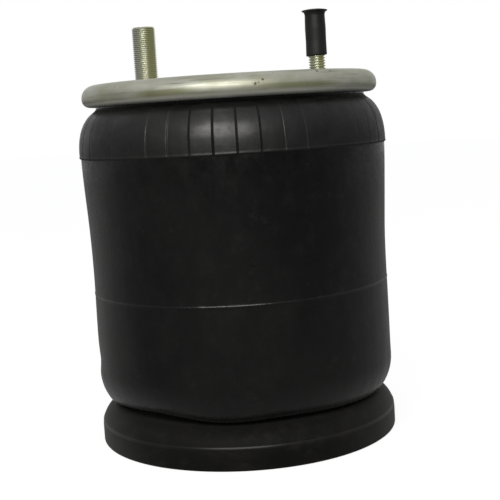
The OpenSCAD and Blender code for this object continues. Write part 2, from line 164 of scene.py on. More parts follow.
def whiteGround(tree, glossyShare):
    # how much of the white ground a ray sees: all of it from the camera, a share in reflections
    ray = nodeFor(tree, "LightPath").outputs
    mirrored = maths(tree, "MULTIPLY", ray["Is Glossy Ray"], glossyShare)
    direct = maths(tree, "MAXIMUM", ray["Is Camera Ray"], mirrored)
    return maths(tree, "MAXIMUM", direct, ray["Is Transmission Ray"])


def blendShaders(tree, kind, share, first, second):
    blend = nodeFor(tree, "MixShader", Fac=share)
    put(tree, first.outputs[0], blend.inputs[1])
    put(tree, second.outputs[0], blend.inputs[2])
    nodeFor(tree, kind, Surface=blend.outputs[0])


def lightTheWorld():
    s = studio
    world = bpy.data.worlds.new("studioWorld")
    bpy.context.scene.world = world
    world.use_nodes = True
    tree = world.node_tree
    tree.nodes.clear()
    direction = nodeFor(tree, "TexCoord").outputs["Generated"]
    heading = math.radians(photoCamera["azimuth"] + 90)
    behind = vectors(tree, "DOT_PRODUCT", direction, (math.cos(heading), math.sin(heading), 0))
    sides = ranged(tree, behind, s["roomTo"], s["wallsFrom"], s["room"], s["walls"])
    dome = ranged(tree, parts(tree, direction)["Z"], 0.0, s["ceilingFrom"], sides, s["ceiling"])
    level = between(tree, nodeFor(tree, "LightPath").outputs["Is Glossy Ray"], s["ambient"], dome)
    soft = nodeFor(tree, "Background", Color=(0.98, 0.99, 1, 1), Strength=level)
    white = nodeFor(tree, "Background", Color=(1, 1, 1, 1), Strength=1.0)
    backdrop = ranged(tree, behind, s["backdropFrom"], s["backdropTo"])
    blendShaders(tree, "OutputWorld", whiteGround(tree, backdrop), soft, white)


def layFloor():
    s = studio
    bpy.ops.mesh.primitive_plane_add(size=s["floorSize"], location=(0, 0, -0.1 * mm))
    floor = bpy.context.object
    floor.name = "studioFloor"
    paint = bpy.data.materials.new("paleFloor")
    paint.use_nodes = True
    tree = paint.node_tree
    tree.nodes.clear()
    onCamera = nodeFor(tree, "LightPath").outputs["Is Camera Ray"]
    matt = nodeFor(tree, "BsdfDiffuse",
                   Color=between(tree, onCamera, s["floorBounce"], s["floorSeen"]))
    glow = nodeFor(tree, "Emission", Color=(1, 1, 1, 1), Strength=s["floorGlow"])
    reach = vectors(tree, "LENGTH", nodeFor(tree, "TexCoord").outputs["Object"])
    mirrored = ranged(tree, reach, s["nearUpTo"], s["farFrom"], s["mirroredNear"], s["mirroredFar"])
    share = maths(tree, "MULTIPLY", whiteGround(tree, mirrored), s["floorShare"])
    blendShaders(tree, "OutputMaterial", share, matt, glow)
    floor.data.materials.append(paint)


bpy.ops.object.select_all(action="DESELECT")
aimCamera(photoCamera)
lightTheWorld()
addSoftbox()
layFloor()
bpy.context.scene.view_settings.view_transform = "Standard"
print("camera, lights and floor are in place")

# Finishes


def newFinish(name, colour, metallic, roughness, specular=0.5):
    finish = bpy.data.materials.new(name)
    finish.use_nodes = True
    shader = finish.node_tree.nodes["Principled BSDF"]
    shader.inputs["Base Color"].default_value = (*colour, 1)
    shader.inputs["Metallic"].default_value = metallic
    shader.inputs["Roughness"].default_value = roughness
    shader.inputs["Specular IOR Level"].default_value = specular
    return finish, finish.node_tree, shader


def dress(tree, shader, **inputs):
    for key, value in inputs.items():
        put(tree, value, shader.inputs[key.replace("_", " ")])


def objectPlace(tree, stretch=(1, 1, 1)):
    place = nodeFor(tree, "TexCoord").outputs["Object"]
    return nodeFor(tree, "Mapping", Vector=place, Scale=stretch).outputs["Vector"]


def roundPlace(tree, stretch=(1, 1, 1)):
    # (radius, angle, height) about the upright axis, for marks that run round the piece
    place = parts(tree, nodeFor(tree, "TexCoord").outputs["Object"])
    flat = nodeFor(tree, "CombineXYZ", X=place["X"], Y=place["Y"]).outputs[0]
    angle = maths(tree, "ARCTAN2", place["Y"], place["X"])
    wrapped = nodeFor(tree, "CombineXYZ", X=vectors(tree, "LENGTH", flat), Y=angle, Z=place["Z"])
    return vectors(tree, "MULTIPLY", wrapped.outputs[0], stretch)


def grainOf(tree, where, scale, detail=2, rough=0.5):
    return nodeFor(tree, "TexNoise", Vector=where, Scale=scale, Detail=detail,
                   Roughness=rough).outputs["Fac"]


def speckle(tree, where, scale, detail=3, rough=0.5, low=0.35, high=0.65):
    # a noise between 0 and 1 with its contrast set by low and high
    return ranged(tree, grainOf(tree, where, scale, detail, rough), low, high)


def tint(tree, amount, first, second):
    mix = nodeFor(tree, "Mix", data_type="RGBA", Factor=amount)
    sockets = [s for s in mix.inputs if s.type == "RGBA"]
    for colour, socket in zip((first, second), sockets):
        put(tree, (*colour, 1) if isinstance(colour, tuple) else colour, socket)
    return [s for s in mix.outputs if s.type == "RGBA"][0]


def blended(tree, amount, first, second):
    return nodeFor(tree, "Mix", data_type="FLOAT", Factor=amount, A=first,
                   B=second).outputs["Result"]


def paintedSheenOn(tree, colour, pale, power, amount=1.0):
    # a painted sheen, paler where the surface is seen at a slant, as the pale surroundings would
    # show in it
    slant = nodeFor(tree, "LayerWeight", Blend=0.5).outputs["Facing"]
    sheenShare = maths(tree, "MULTIPLY", maths(tree, "POWER", slant, power), amount)
    return tint(tree, sheenShare, colour, pale)


def marksAt(tree, places):
    # 1 at each listed place, given as x, y, z and size, and 0 away from it, with ragged edges
    where = objectPlace(tree)
    warp = grainOf(tree, where, 700)
    last = 0.0
    for x, y, z, size in places:
        away = vectors(tree, "DISTANCE", where, (x * mm, y * mm, z * mm))
        ragged = maths(tree, "MULTIPLY_ADD", warp, size * mm * 1.6, away)
        near = ranged(tree, ragged, size * mm * 1.9, size * mm * 1.3)
        last = maths(tree, "MAXIMUM", last, near)
    return last


def bumpOn(tree, shader, marks):
    # marks are (height, strength, depth in mm), laid one over the other
    last = None
    for height, strength, depth in marks:
        bump = nodeFor(tree, "Bump", Height=height, Strength=strength, Distance=depth * mm)
        if last:
            put(tree, last, bump.inputs["Normal"])
        last = bump.outputs["Normal"]
    put(tree, last, shader.inputs["Normal"])


rubberSpecks = ((14.0, -119.0, 84.0, 0.3), (-33.0, -118.5, 62.0, 0.35), (-57.0, -108.0, 45.0, 0.4),
                (-34.0, -117.0, 46.5, 0.3), (55.0, -107.0, 47.0, 0.25), (-20.0, -115.5, 196.0, 0.3),
                (40.0, -110.0, 150.0, 0.25), (-60.0, -101.0, 168.0, 0.3))


def makeSleeveRubber():
    finish, tree, shader = newFinish("sleeveRubber", (0.003, 0.003, 0.003), 0, 0.27, 0.45)
    bloom = speckle(tree, objectPlace(tree, (1, 1, 0.6)), 12, 4, 0.55, 0.4, 0.66)
    dust = speckle(tree, objectPlace(tree, (1, 1, 0.8)), 45, 5, 0.7, 0.5, 0.8)
    scuff = speckle(tree, roundPlace(tree, (40, 1.2, 14)), 5, 5, 0.75, 0.6, 0.78)
    blotch = speckle(tree, objectPlace(tree, (1, 1, 0.7)), 85, 4, 0.6, 0.38, 0.66)
    smear = speckle(tree, objectPlace(tree, (1, 1, 1.5)), 46, 4, 0.65, 0.36, 0.68)
    # both are painted on the band by makeCover: pale groove edges, partly worn and partly a painted
    # highlight on the groove rims, and the panels' polish
    worn = nodeFor(tree, "Attribute", attribute_name="edgeWearAndHighlight").outputs["Fac"]
    polish = nodeFor(tree, "Attribute", attribute_name="panelPolish").outputs["Fac"]
    bloomed = tint(tree, bloom, (0.0012, 0.0012, 0.0013), (0.0054, 0.0053, 0.0051))
    dusted = tint(tree, dust, bloomed, (0.0085, 0.0083, 0.0079))
    scuffed = tint(tree, scuff, dusted, (0.016, 0.015, 0.014))
    # pale groove edges, partly worn and partly a painted highlight on the groove rims
    rubbed = tint(tree, worn, scuffed, (0.016, 0.016, 0.0155))
    # painted sheen: the rubber is tinted paler where it is seen at a slant
    withPaintedSheen = paintedSheenOn(tree, rubbed, (0.17, 0.169, 0.166), 3.4)
    # the painted sheen is taken off the band's panels, where they carry polish
    sheenOffBand = tint(tree, ranged(tree, polish, 0, 0.05, 0, 0.88), withPaintedSheen, rubbed)
    specked = tint(tree, marksAt(tree, rubberSpecks), sheenOffBand, (0.12, 0.12, 0.115))
    hazy = blended(tree, ranged(tree, polish, 0, 0.12), between(tree, blotch, 0.2, 0.33),
                   between(tree, blotch, 0.46, 0.6))
    coat = maths(tree, "MULTIPLY", polish, between(tree, smear, 0.1, 1.0))
    dress(tree, shader, Base_Color=specked, Roughness=hazy, Coat_Weight=coat, Coat_Roughness=0.24)
    where = objectPlace(tree)
    bumpOn(tree, shader, [(grainOf(tree, where, 65), 0.6, 0.9),
                          (grainOf(tree, where, 190, 4, 0.6), 0.45, 0.4),
                          (grainOf(tree, where, 1500), 0.2, 0.04)])
    return finish


plateMarks = {
    "nicks": ((74.7, -87.8, 272.7, 1.2), (76.4, -86.2, 273.3, 0.7), (73.4, -89.0, 273.3, 0.5),
              (78.6, -83.4, 275.2, 1.0), (101.3, -45.7, 279.4, 1.2), (106.1, -34.6, 279.1, 0.9)),
    "rimFrom": 98, "rimTo": 107,
    # painted dark reflections low on the rim, each a direction and half a width in degrees, and the
    # heights that their upper and lower edges fade over
    "streaks": ((-32, 19), (-82, 15)), "darkReflectionShare": 0.6,
    "darkReflectionEdges": ((273.4, 271.6), (267.6, 269.4)),
    # painted reflection: the rim's lowest edge is painted paler, as the floor would show in it
    "lipFrom": 268.2, "lipTo": 266.0, "lipShare": 0.9,
}


def rimDarkReflections(tree, angle, height):
    # painted dark reflections: olive streaks low on the rim in the listed directions
    last = 0.0
    for at, half in plateMarks["streaks"]:
        apart = maths(tree, "ABSOLUTE", maths(tree, "SUBTRACT", angle, math.radians(at)))
        near = ranged(tree, apart, math.radians(half), math.radians(0.4 * half), 0,
                      plateMarks["darkReflectionShare"])
        for start, end in plateMarks["darkReflectionEdges"]:
            near = ranged(tree, height, start * mm, end * mm, 0, near)
        last = maths(tree, "MAXIMUM", last, near)
    return last


def makePlate():
    finish, tree, shader = newFinish("zincPlate", (0.5, 0.5, 0.42), 0.62, 0.34)
    m = plateMarks
    rings = speckle(tree, roundPlace(tree, (1, 0.006, 1)), 900, 4, 0.7, 0.3, 0.7)
    broad = speckle(tree, roundPlace(tree, (1, 0.03, 1)), 90, 4, 0.6, 0.35, 0.7)
    scored = speckle(tree, roundPlace(tree, (1, 0.004, 1)), 520, 3, 0.6, 0.56, 0.68)
    stain = speckle(tree, objectPlace(tree, (1, 1, 2.5)), 26, 5, 0.65, 0.45, 0.75)
    spots = speckle(tree, objectPlace(tree), 330, 2, 0.5, 0.74, 0.8)
    nicks = marksAt(tree, m["nicks"])
    place = parts(tree, roundPlace(tree))   # radius, angle and height
    onRim = ranged(tree, place["X"], m["rimFrom"] * mm, m["rimTo"] * mm)
    # painted reflection of the floor: the rim's lowest edge is tinted paler
    lip = ranged(tree, place["Z"], m["lipFrom"] * mm, m["lipTo"] * mm, 0, m["lipShare"])
    colour = tint(tree, broad, (0.46, 0.465, 0.385), (0.55, 0.55, 0.475))
    for amount, over in ((stain, (0.35, 0.35, 0.235)), (spots, (0.12, 0.12, 0.07)),
                         (maths(tree, "MULTIPLY", scored, onRim), (0.3, 0.3, 0.24)),
                         # painted reflections: dark olive streaks low on the rim, and a paler lowest
                         # edge that stands in for the floor's reflection
                         (rimDarkReflections(tree, place["Y"], place["Z"]), (0.2, 0.2, 0.06)),
                         (lip, (0.85, 0.85, 0.76)), (nicks, (0.11, 0.11, 0.08))):
        colour = tint(tree, amount, colour, over)
    spun = blended(tree, onRim, between(tree, rings, 0.43, 0.48), between(tree, rings, 0.36, 0.5))
    dress(tree, shader, Base_Color=colour, Roughness=spun)
    bumpOn(tree, shader, [(broad, 0.1, 0.1), (rings, 0.1, 0.02), (nicks, -0.5, 0.3)])
    return finish


def makeThreadZinc(name, first, second, roughness, away=0, root=0, crest=0.001):
    # away is where a stud's axis stands along X, root and crest are its thread's radii
    finish, tree, shader = newFinish(name, first, 0.85, roughness)
    stain = speckle(tree, objectPlace(tree), 140, 4, 0.6, 0.4, 0.7)
    colour = tint(tree, stain, first, second)
    if away:
        place = parts(tree, objectPlace(tree))
        flat = nodeFor(tree, "CombineXYZ", X=maths(tree, "SUBTRACT", place["X"], away * mm),
                       Y=place["Y"]).outputs[0]
        # the thread is coloured darker down at its root than at its crest
        rootToCrest = ranged(tree, vectors(tree, "LENGTH", flat), root * mm, crest * mm)
        colour = tint(tree, rootToCrest, (0.4, 0.4, 0.29), colour)
        # painted shade: the side to the camera's right is tinted darker and olive
        heading = math.radians(photoCamera["azimuth"])
        sideways = vectors(tree, "DOT_PRODUCT", objectPlace(tree),
                           (math.cos(heading), math.sin(heading), 0))
        middle = away * math.cos(heading)
        thick = ranged(tree, sideways, (middle + 0.1 * crest) * mm, (middle + 0.45 * crest) * mm,
                       0, 0.75)
        # painted shade on the side turned to the camera's right
        colour = tint(tree, thick, colour, (0.45, 0.455, 0.18))
        dress(tree, shader, Coat_Weight=1.0, Coat_Roughness=0.32)
    dress(tree, shader, Base_Color=colour,
          Roughness=between(tree, stain, roughness - 0.04, roughness + 0.06))
    return finish


def makeDarkPlastic(name, colour, roughness, specular, grainSize):
    finish, tree, shader = newFinish(name, colour, 0, roughness, specular)
    cloud = speckle(tree, objectPlace(tree), 22, 4, 0.6, 0.4, 0.7)
    worn = speckle(tree, objectPlace(tree, (1, 1, 1.6)), 70, 6, 0.75, 0.62, 0.8)
    clouded = tint(tree, cloud, colour, tuple(c * 1.7 + 0.002 for c in colour))
    dress(tree, shader, Base_Color=tint(tree, worn, clouded, tuple(c * 2.4 + 0.004 for c in colour)),
          Roughness=between(tree, cloud, roughness - 0.05, roughness + 0.08))
    bumpOn(tree, shader, [(grainOf(tree, objectPlace(tree), grainSize), 0.2, 0.08)])
    return finish


pistonMarks = {
    "pits": ((-80.4, -84.3, 22.5, 0.9), (-91.6, -72.6, 20.8, 0.7)),
    "specks": ((104.5, -47.0, 15.5, 0.5), (114.0, -22.0, 19.0, 0.4), (70.0, -92.0, 8.0, 0.3)),
    "beadLow": 15.4, "beadHigh": 17.8,
    "lobeShadeHigh": 27, "lobeShadeLow": 17, "lobeShadeSheen": 0.35,   # painted shade under the lobe, where less painted sheen is laid
}


def makePistonPlastic():
    finish, tree, shader = newFinish("pistonPlastic", (0.007, 0.007, 0.007), 0, 0.62, 0.1)
    m = pistonMarks
    cloud = speckle(tree, objectPlace(tree), 22, 4, 0.6, 0.4, 0.7)
    dust = speckle(tree, objectPlace(tree, (1, 1, 1.6)), 60, 6, 0.75, 0.5, 0.8)
    pits = marksAt(tree, m["pits"])
    height = parts(tree, objectPlace(tree))["Z"]
    clouded = tint(tree, cloud, (0.0055, 0.0055, 0.0055), (0.0095, 0.009, 0.0082))
    dusted = tint(tree, dust, clouded, (0.018, 0.017, 0.0145))
    pitted = tint(tree, pits, dusted, (0.0015, 0.0015, 0.0015))
    # painted shade: less painted sheen on the shoulder from under the lobe upwards
    sheenUnderLobe = ranged(tree, height, m["lobeShadeHigh"] * mm, m["lobeShadeLow"] * mm, m["lobeShadeSheen"])
    withPaintedSheen = paintedSheenOn(tree, pitted, (0.17, 0.168, 0.162), 2.9, sheenUnderLobe)
    specked = tint(tree, marksAt(tree, m["specks"]), withPaintedSheen, (0.12, 0.12, 0.11))
    mid = (m["beadLow"] + m["beadHigh"]) / 2
    onBead = maths(tree, "COMPARE", height, mid * mm, (m["beadHigh"] - mid) * mm)
    dress(tree, shader, Base_Color=specked, Roughness=between(tree, onBead, 0.62, 0.34),
          Specular_IOR_Level=between(tree, onBead, 0.1, 0.28))
    bumpOn(tree, shader, [(grainOf(tree, objectPlace(tree), 900), 0.2, 0.08), (pits, -0.8, 0.8)])
    return finish


def makeCordPly(name, slant):
    # rubbered cord laid on the bias
    finish, tree, shader = newFinish(name, (0.2, 0.16, 0.1), 0, 0.7, 0.3)
    where = nodeFor(tree, "Mapping", Vector=roundPlace(tree, (0, 0.117, 1)),
                    Rotation=(slant, 0, 0)).outputs["Vector"]
    cords = nodeFor(tree, "TexWave", wave_type="BANDS", bands_direction="Y", Vector=where,
                    Scale=210, Distortion=0.4, Detail=1).outputs["Fac"]
    fuzz = speckle(tree, objectPlace(tree), 700, 3, 0.6, 0.3, 0.75)
    laid = tint(tree, cords, (0.02, 0.019, 0.018), (0.26, 0.2, 0.12))
    dress(tree, shader, Base_Color=tint(tree, fuzz, laid, (0.06, 0.05, 0.035)))
    bumpOn(tree, shader, [(cords, 0.6, 0.2), (fuzz, 0.2, 0.05)])
    return finish


def makePaintedSteel():
    finish, tree, shader = newFinish("closurePaint", (0.16, 0.165, 0.16), 0, 0.45, 0.5)
    cloud = speckle(tree, objectPlace(tree), 45, 4, 0.6, 0.4, 0.7)
    dress(tree, shader, Base_Color=tint(tree, cloud, (0.15, 0.155, 0.15), (0.2, 0.2, 0.19)),
          Roughness=between(tree, cloud, 0.38, 0.55))
    bumpOn(tree, shader, [(grainOf(tree, objectPlace(tree), 420), 0.3, 0.06)])
    return finish


studAxis = 78.75   # of both studs, from the middle of the plate

finishes = {
    "sleeve_rubber": makeSleeveRubber(),
    "zinc_plate": makePlate(),
    "inlet_zinc": makeThreadZinc("inletZinc", (0.64, 0.65, 0.54), (0.5, 0.5, 0.33), 0.33,
                                 -studAxis, 8.5, 9.0),
    "mounting_zinc": makeThreadZinc("mountingZinc", (0.6, 0.61, 0.48), (0.44, 0.44, 0.25), 0.3,
                                    studAxis, 5.1, 5.7),
    "fastener_steel": makeThreadZinc("fastenerZinc", (0.46, 0.46, 0.43), (0.33, 0.33, 0.3), 0.34),
    "insert_steel": makeThreadZinc("insertZinc", (0.5, 0.43, 0.22), (0.38, 0.31, 0.14), 0.32),
    "bead_steel": makeThreadZinc("beadWireSteel", (0.36, 0.355, 0.33), (0.22, 0.2, 0.17), 0.38),
    "cap_vinyl": makeDarkPlastic("capVinyl", (0.0058, 0.0058, 0.006), 0.5, 0.42, 500),
    "piston_plastic": makePistonPlastic(),
    "bumper_rubber": makeDarkPlastic("bumperRubber", (0.018, 0.018, 0.019), 0.6, 0.3, 600),
    "liner_rubber": makeDarkPlastic("linerRubber", (0.014, 0.014, 0.014), 0.55, 0.3, 300),
    "outer_cord": makeCordPly("outerCord", math.radians(36)),
    "inner_cord": makeCordPly("innerCord", math.radians(-36)),
    "closure_steel": makePaintedSteel(),
}
print("finishes are mixed:", len(finishes))


# Ways of shaping


def clearSelection():
    if bpy.context.object and bpy.context.object.mode != "OBJECT":
        bpy.ops.object.mode_set(mode="OBJECT")
    bpy.ops.object.select_all(action="DESELECT")


def pickOnly(piece):
    clearSelection()
    piece.select_set(True)
    bpy.context.view_layer.objects.active = piece


def openEdit(piece):
    pickOnly(piece)
    bpy.ops.object.mode_set(mode="EDIT")
    bpy.ops.mesh.select_all(action="SELECT")


def closeEdit():
    bpy.ops.object.mode_set(mode="OBJECT")


def smoothed(piece, crease):
    # crease is the angle in degrees past which an edge stays sharp
    pickOnly(piece)
    bpy.ops.object.shade_smooth_by_angle(angle=math.radians(crease))


def placesOf(piece):
    # every point with its place in millimetres and its distance from the upright axis
    for vertex in piece.data.vertices:
        x, y, z = (c / mm for c in vertex.co)
        yield vertex, x, y, z, math.hypot(x, y)


def loopOf(name, outline, y=0, fill="NOTHING"):
    # a closed loop of (radius, height), standing upright beside the axis
    clearSelection()
    bpy.ops.mesh.primitive_circle_add(vertices=len(outline), radius=0.01, fill_type=fill)
    piece = bpy.context.object
    piece.name = name
    for vertex, (r, z) in zip(piece.data.vertices, outline):
        vertex.co = (r * mm, y * mm, z * mm)
    return piece


def filleted(corners, steps=4):
    # corners are (radius, height, fillet); each one is rounded by its fillet
    path = []
    for i, (r, z, fillet) in enumerate(corners):
        here = Vector((r, z))
        back = Vector(corners[i - 1][:2]) - here
        onward = Vector(corners[(i + 1) % len(corners)][:2]) - here
        if fillet <= 0:
            path.append((r, z))
            continue
        half = back.angle(onward) / 2
        cutBack = min(fillet / math.tan(half), 0.48 * back.length, 0.48 * onward.length)
        radius = cutBack * math.tan(half)
        middle = here + (back.normalized() + onward.normalized()).normalized() * (
            radius / math.sin(half))
        start = here + back.normalized() * cutBack - middle
        end = here + onward.normalized() * cutBack - middle
        turn = start.angle_signed(end)
        for k in range(steps + 1):
            path.append(tuple(middle + Matrix.Rotation(-turn * k / steps, 2) @ start))
    return path


def arcPath(r, z, size, start, end, steps):
    angles = [math.radians(start + (end - start) * i / steps) for i in range(steps + 1)]
    return [(r + size * math.cos(angle), z + size * math.sin(angle)) for angle in angles]


def curvePath(a, b, c, d, steps):
    # a bent run from a to d that leaves a towards b and comes to d from c
    points = []
    for i in range(1, steps + 1):
        t = i / steps
        s = 1 - t
        points.append(tuple(s ** 3 * a[k] + 3 * s * s * t * b[k] + 3 * s * t * t * c[k]
                            + t ** 3 * d[k] for k in (0, 1)))
    return points


def turned(name, outline, steps=128, crease=32):
    # a closed outline of (radius, height) spun round the upright axis
    piece = loopOf(name, outline)
    openEdit(piece)
    bpy.ops.mesh.spin(steps=steps, angle=fullTurn, center=(0, 0, 0), axis=(0, 0, 1))
    bpy.ops.mesh.select_all(action="SELECT")
    bpy.ops.mesh.remove_doubles(threshold=1e-6)
    bpy.ops.mesh.delete_loose()
    bpy.ops.mesh.select_all(action="SELECT")
    bpy.ops.mesh.normals_make_consistent(inside=False)
    closeEdit()
    smoothed(piece, crease)
    return piece


def shift(piece, x=0, y=0):
    openEdit(piece)
    bpy.ops.transform.translate(value=(x * mm, y * mm, 0))
    closeEdit()


def combine(piece, tool, how="DIFFERENCE"):
    # cuts the piece by the tool, or keeps what both share; the tool is used up
    pickOnly(piece)
    cutter = piece.modifiers.new("combine", "BOOLEAN")
    cutter.operation = how
    cutter.solver = "EXACT"
    cutter.object = tool
    bpy.ops.object.modifier_apply(modifier=cutter.name)
    bpy.data.objects.remove(tool, do_unlink=True)


def splitManySided(piece):
    # a rod's flat ends become triangles, so that the cuts into them stay closed
    openEdit(piece)
    bpy.ops.mesh.select_mode(type="FACE")
    bpy.ops.mesh.select_all(action="DESELECT")
    bpy.ops.mesh.select_face_by_sides(number=4, type="GREATER")
    bpy.ops.mesh.quads_convert_to_tris(quad_method="BEAUTY", ngon_method="BEAUTY")
    bpy.ops.mesh.select_mode(type="VERT")
    closeEdit()


def joined(name, pieces):
    clearSelection()
    for piece in pieces:
        piece.select_set(True)
    bpy.context.view_layer.objects.active = pieces[0]
    bpy.ops.object.join()
    pieces[0].name = name
    return pieces[0]


def repeatRound(piece, count):
    # copies the piece's own mesh round the axis
    openEdit(piece)
    bpy.ops.mesh.spin(steps=count - 1, dupli=True, angle=fullTurn * (count - 1) / count,
                      center=(0, 0, 0), axis=(0, 0, 1))
    closeEdit()


threadCrease = 78    # rolled threads shade round over root and crest
threadDepth = 0.61   # as a share of the pitch


def threadedRod(name, major, minor, pitch, low, high, topChamfer=0, steps=48, crest=0.125):
    # one tooth, wound up by the Screw modifier, trimmed flat and chamfered; crest is the share
    # of the pitch that the worn top of the thread takes
    tooth = [(minor, 0), (minor, 0.125), (major, 0.5 - crest / 2), (major, 0.5 + crest / 2),
             (minor, 0.875), (minor, 1)]
    rod = loopOf(name, [(r, low - 1.5 * pitch + share * pitch) for r, share in tooth])
    closing = {0, len(tooth) - 1}
    for vertex in rod.data.vertices:
        vertex.select = vertex.index in closing
    for edge in rod.data.edges:
        edge.select = set(edge.vertices) == closing
    bpy.ops.object.mode_set(mode="EDIT")
    bpy.ops.mesh.delete(type="EDGE")
    closeEdit()
    winding = rod.modifiers.new("winding", "SCREW")
    winding.axis = "Z"
    winding.angle = fullTurn
    winding.screw_offset = pitch * mm
    winding.iterations = math.ceil((high - low) / pitch) + 3
    winding.steps = steps
    winding.render_steps = steps
    bpy.ops.object.modifier_apply(modifier=winding.name)
    openEdit(rod)
    bpy.ops.mesh.remove_doubles(threshold=2e-6)
    for height, below in ((low, True), (high, False)):
        bpy.ops.mesh.select_all(action="SELECT")
        bpy.ops.mesh.bisect(plane_co=(0, 0, height * mm), plane_no=(0, 0, 1), use_fill=True,
                            clear_inner=below, clear_outer=not below)
    bpy.ops.mesh.select_all(action="SELECT")
    bpy.ops.mesh.normals_make_consistent(inside=False)
    closeEdit()
    for vertex in rod.data.vertices:
        r, z = vertex.co.xy.length / mm, vertex.co.z / mm
        limit = min(major, major - topChamfer + (high - z)) if topChamfer else major
        if r > limit:
            vertex.co.xy *= limit / r
    smoothed(rod, threadCrease)
    return rod


def hexBar(name, flats, low, high):
    # hexagon with its corners turned off at both ends
    clearSelection()
    bpy.ops.mesh.primitive_cylinder_add(vertices=6, radius=flats / math.sqrt(3) * mm,
                                        depth=(high - low) * mm,
                                        location=(0, 0, (low + high) / 2 * mm))
    bar = bpy.context.object
    bar.name = name
    bpy.ops.object.transform_apply(location=True, rotation=True, scale=True)
    face, corner = 0.94 * flats / 2, 1.18 * flats / 2
    rise = (corner - face) * math.tan(math.radians(30))
    envelope = turned("envelope", [(0, low), (face, low), (corner, low + rise),
                                   (corner, high - rise), (face, high), (0, high)], 72)
    combine(bar, envelope, "INTERSECT")
    smoothed(bar, 28)
    return bar


def finishPiece(piece, slotName, body, *nodes, finish=None):
    piece.data.materials.clear()
    piece.data.materials.append(finishes[finish or slotName])
    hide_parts(*nodes)
    if body:
        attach(piece, body)
    print("made", piece.name, "with", len(piece.data.polygons), "faces")


# Sleeve: cover, two plies and liner, each a wall with the lobe and a leg on the piston

sleeve = {
    "neckRadius": 105.3, "lipTop": 267.4, "neckLow": 263.4,
    "crownRadius": 119.5, "crownHeight": 228.0, "neckPull": 4.0, "crownPull": 27.9,
    "waistRadius": 116.6, "waistHeight": 140.0, "flankRadius": 117.6,
    "flankArc": 40.0, "lobeArc": 8.0, "legRadius": 96.3, "lobeHeight": 38.3,
    "deckHeight": 128.0, "deckEdge": 10.0, "gap": 0.3,
    # heights of the rows of points, closest at the band's step and at the parting ridge
    "upperRows": (227.4, 226.7, 226.1, 225.5, 224.9, 224.3, 219, 213, 206, 198, 189, 180, 170,
                  160, 150),
    "lowerRows": (140, 132, 125, 121.5, 120.2, 119.7, 119.4, 119.0, 118.7, 118.2, 116.5, 112,
                  104, 96, 88, 80, 73, 67, 61),
    "legRows": (46, 56, 66, 76, 86, 96, 106, 112),
    "lowBeadIn": 60.3, "lowBeadOut": 77.0, "lowBeadHeight": 12.4, "beadFoot": 6.5,
    # radius, height and size of the upper bead's two rounded corners
    "footCorner": (105.5, 271.2, 6.7), "lipCorner": (109.5, 270.4, 2.7),
    "cover": (0.0, 2.2), "outerPly": (2.5, 0.8), "innerPly": (3.6, 0.8), "liner": (4.7, 1.8),
    "plateUnder": 278.2, "partingHeight": 119.2, "partingRise": 0.38, "partingWidth": 1.0,
    "bandLow": 225.5, "bandHigh": 262.0, "bandStep": 0.6, "bandFade": 5, "panelRise": 0.8,
    "lipAt": 226.3, "lipRise": 0.3, "lipWidth": 0.6,
}

flankTurn = math.degrees(math.acos(
    (sleeve["flankArc"] - sleeve["lobeArc"]
     - (sleeve["flankRadius"] - sleeve["legRadius"] - 2 * sleeve["lobeArc"]))
    / (sleeve["flankArc"] - sleeve["lobeArc"])))
flankHeight = sleeve["lobeHeight"] + (sleeve["flankArc"] - sleeve["lobeArc"]) * math.sin(
    math.radians(flankTurn))
crown = (sleeve["crownRadius"], sleeve["crownHeight"])
waist = (sleeve["waistRadius"], sleeve["waistHeight"])
flank = (sleeve["flankRadius"], flankHeight)


def easedRadius(high, low, z):
    # radius on a run that is upright at both ends
    t = (high[1] - z) / (high[1] - low[1])
    return high[0] + (low[0] - high[0]) * (1 - math.cos(math.pi * t)) / 2


def wallPath():
    # outer face from the clamped neck down to the inside of the lobe
    s = sleeve
    neck = (s["neckRadius"], s["neckLow"])
    path = [(s["neckRadius"], s["lipTop"] + s["gap"]), neck]
    path += curvePath(neck, (neck[0], neck[1] - s["neckPull"]),
                      (crown[0], crown[1] + s["crownPull"]), crown, 26)
    path += [(easedRadius(crown, waist, z), z) for z in s["upperRows"]]
    path += [(easedRadius(waist, flank, z), z) for z in s["lowerRows"]]
    path += arcPath(flank[0] - s["flankArc"], flank[1], s["flankArc"], 0, -flankTurn, 7)
    path += arcPath(s["legRadius"] + s["lobeArc"], s["lobeHeight"], s["lobeArc"], -flankTurn,
                    -180, 16)[1:]
    return path


def legPath():
    # from the inside of the lobe up the piston and over its deck to the lower bead
    s = sleeve
    inner = s["legRadius"] - s["gap"]
    path = [(s["legRadius"], z) for z in (s["lobeHeight"], *s["legRows"])]
    path += arcPath(inner - s["deckEdge"], s["deckHeight"] - s["deckEdge"],
                    s["deckEdge"] + s["gap"], 0, 90, 10)
    path.append((s["lowBeadOut"], s["deckHeight"] + s["gap"]))
    return path


def inset(path, depth):
    # the path moved towards the chamber
    moved = []
    for i, (r, z) in enumerate(path):
        a, b = path[max(i - 1, 0)], path[min(i + 1, len(path) - 1)]
        dr, dz = b[0] - a[0], b[1] - a[1]
        size = math.hypot(dr, dz)
        moved.append((r + depth * dz / size, z - depth * dr / size))
    return moved


def held(value):
    return max(0.0, min(1.0, value))


def fade(start, end, value):
    t = held((value - start) / (end - start))
    return t * t * (3 - 2 * t)


def waver(*place):
    return noise.noise(Vector(place))


def degreesApart(a, b):
    return abs((a - b + 180) % 360 - 180)


def within(places, heading):
    # 1 inside any of the places, each a direction and half a width in degrees, and 0 outside
    return max(1 - fade(0.75 * half, 1.15 * half, degreesApart(heading, at))
               for at, half in places)


def bandLift(z):
    # how far the ribbed band stands out at a height, 0 to 1
    s = sleeve
    return held(min((z - s["bandLow"] + s["bandStep"]) / s["bandStep"],
                    (s["bandHigh"] - z) / s["bandFade"]))


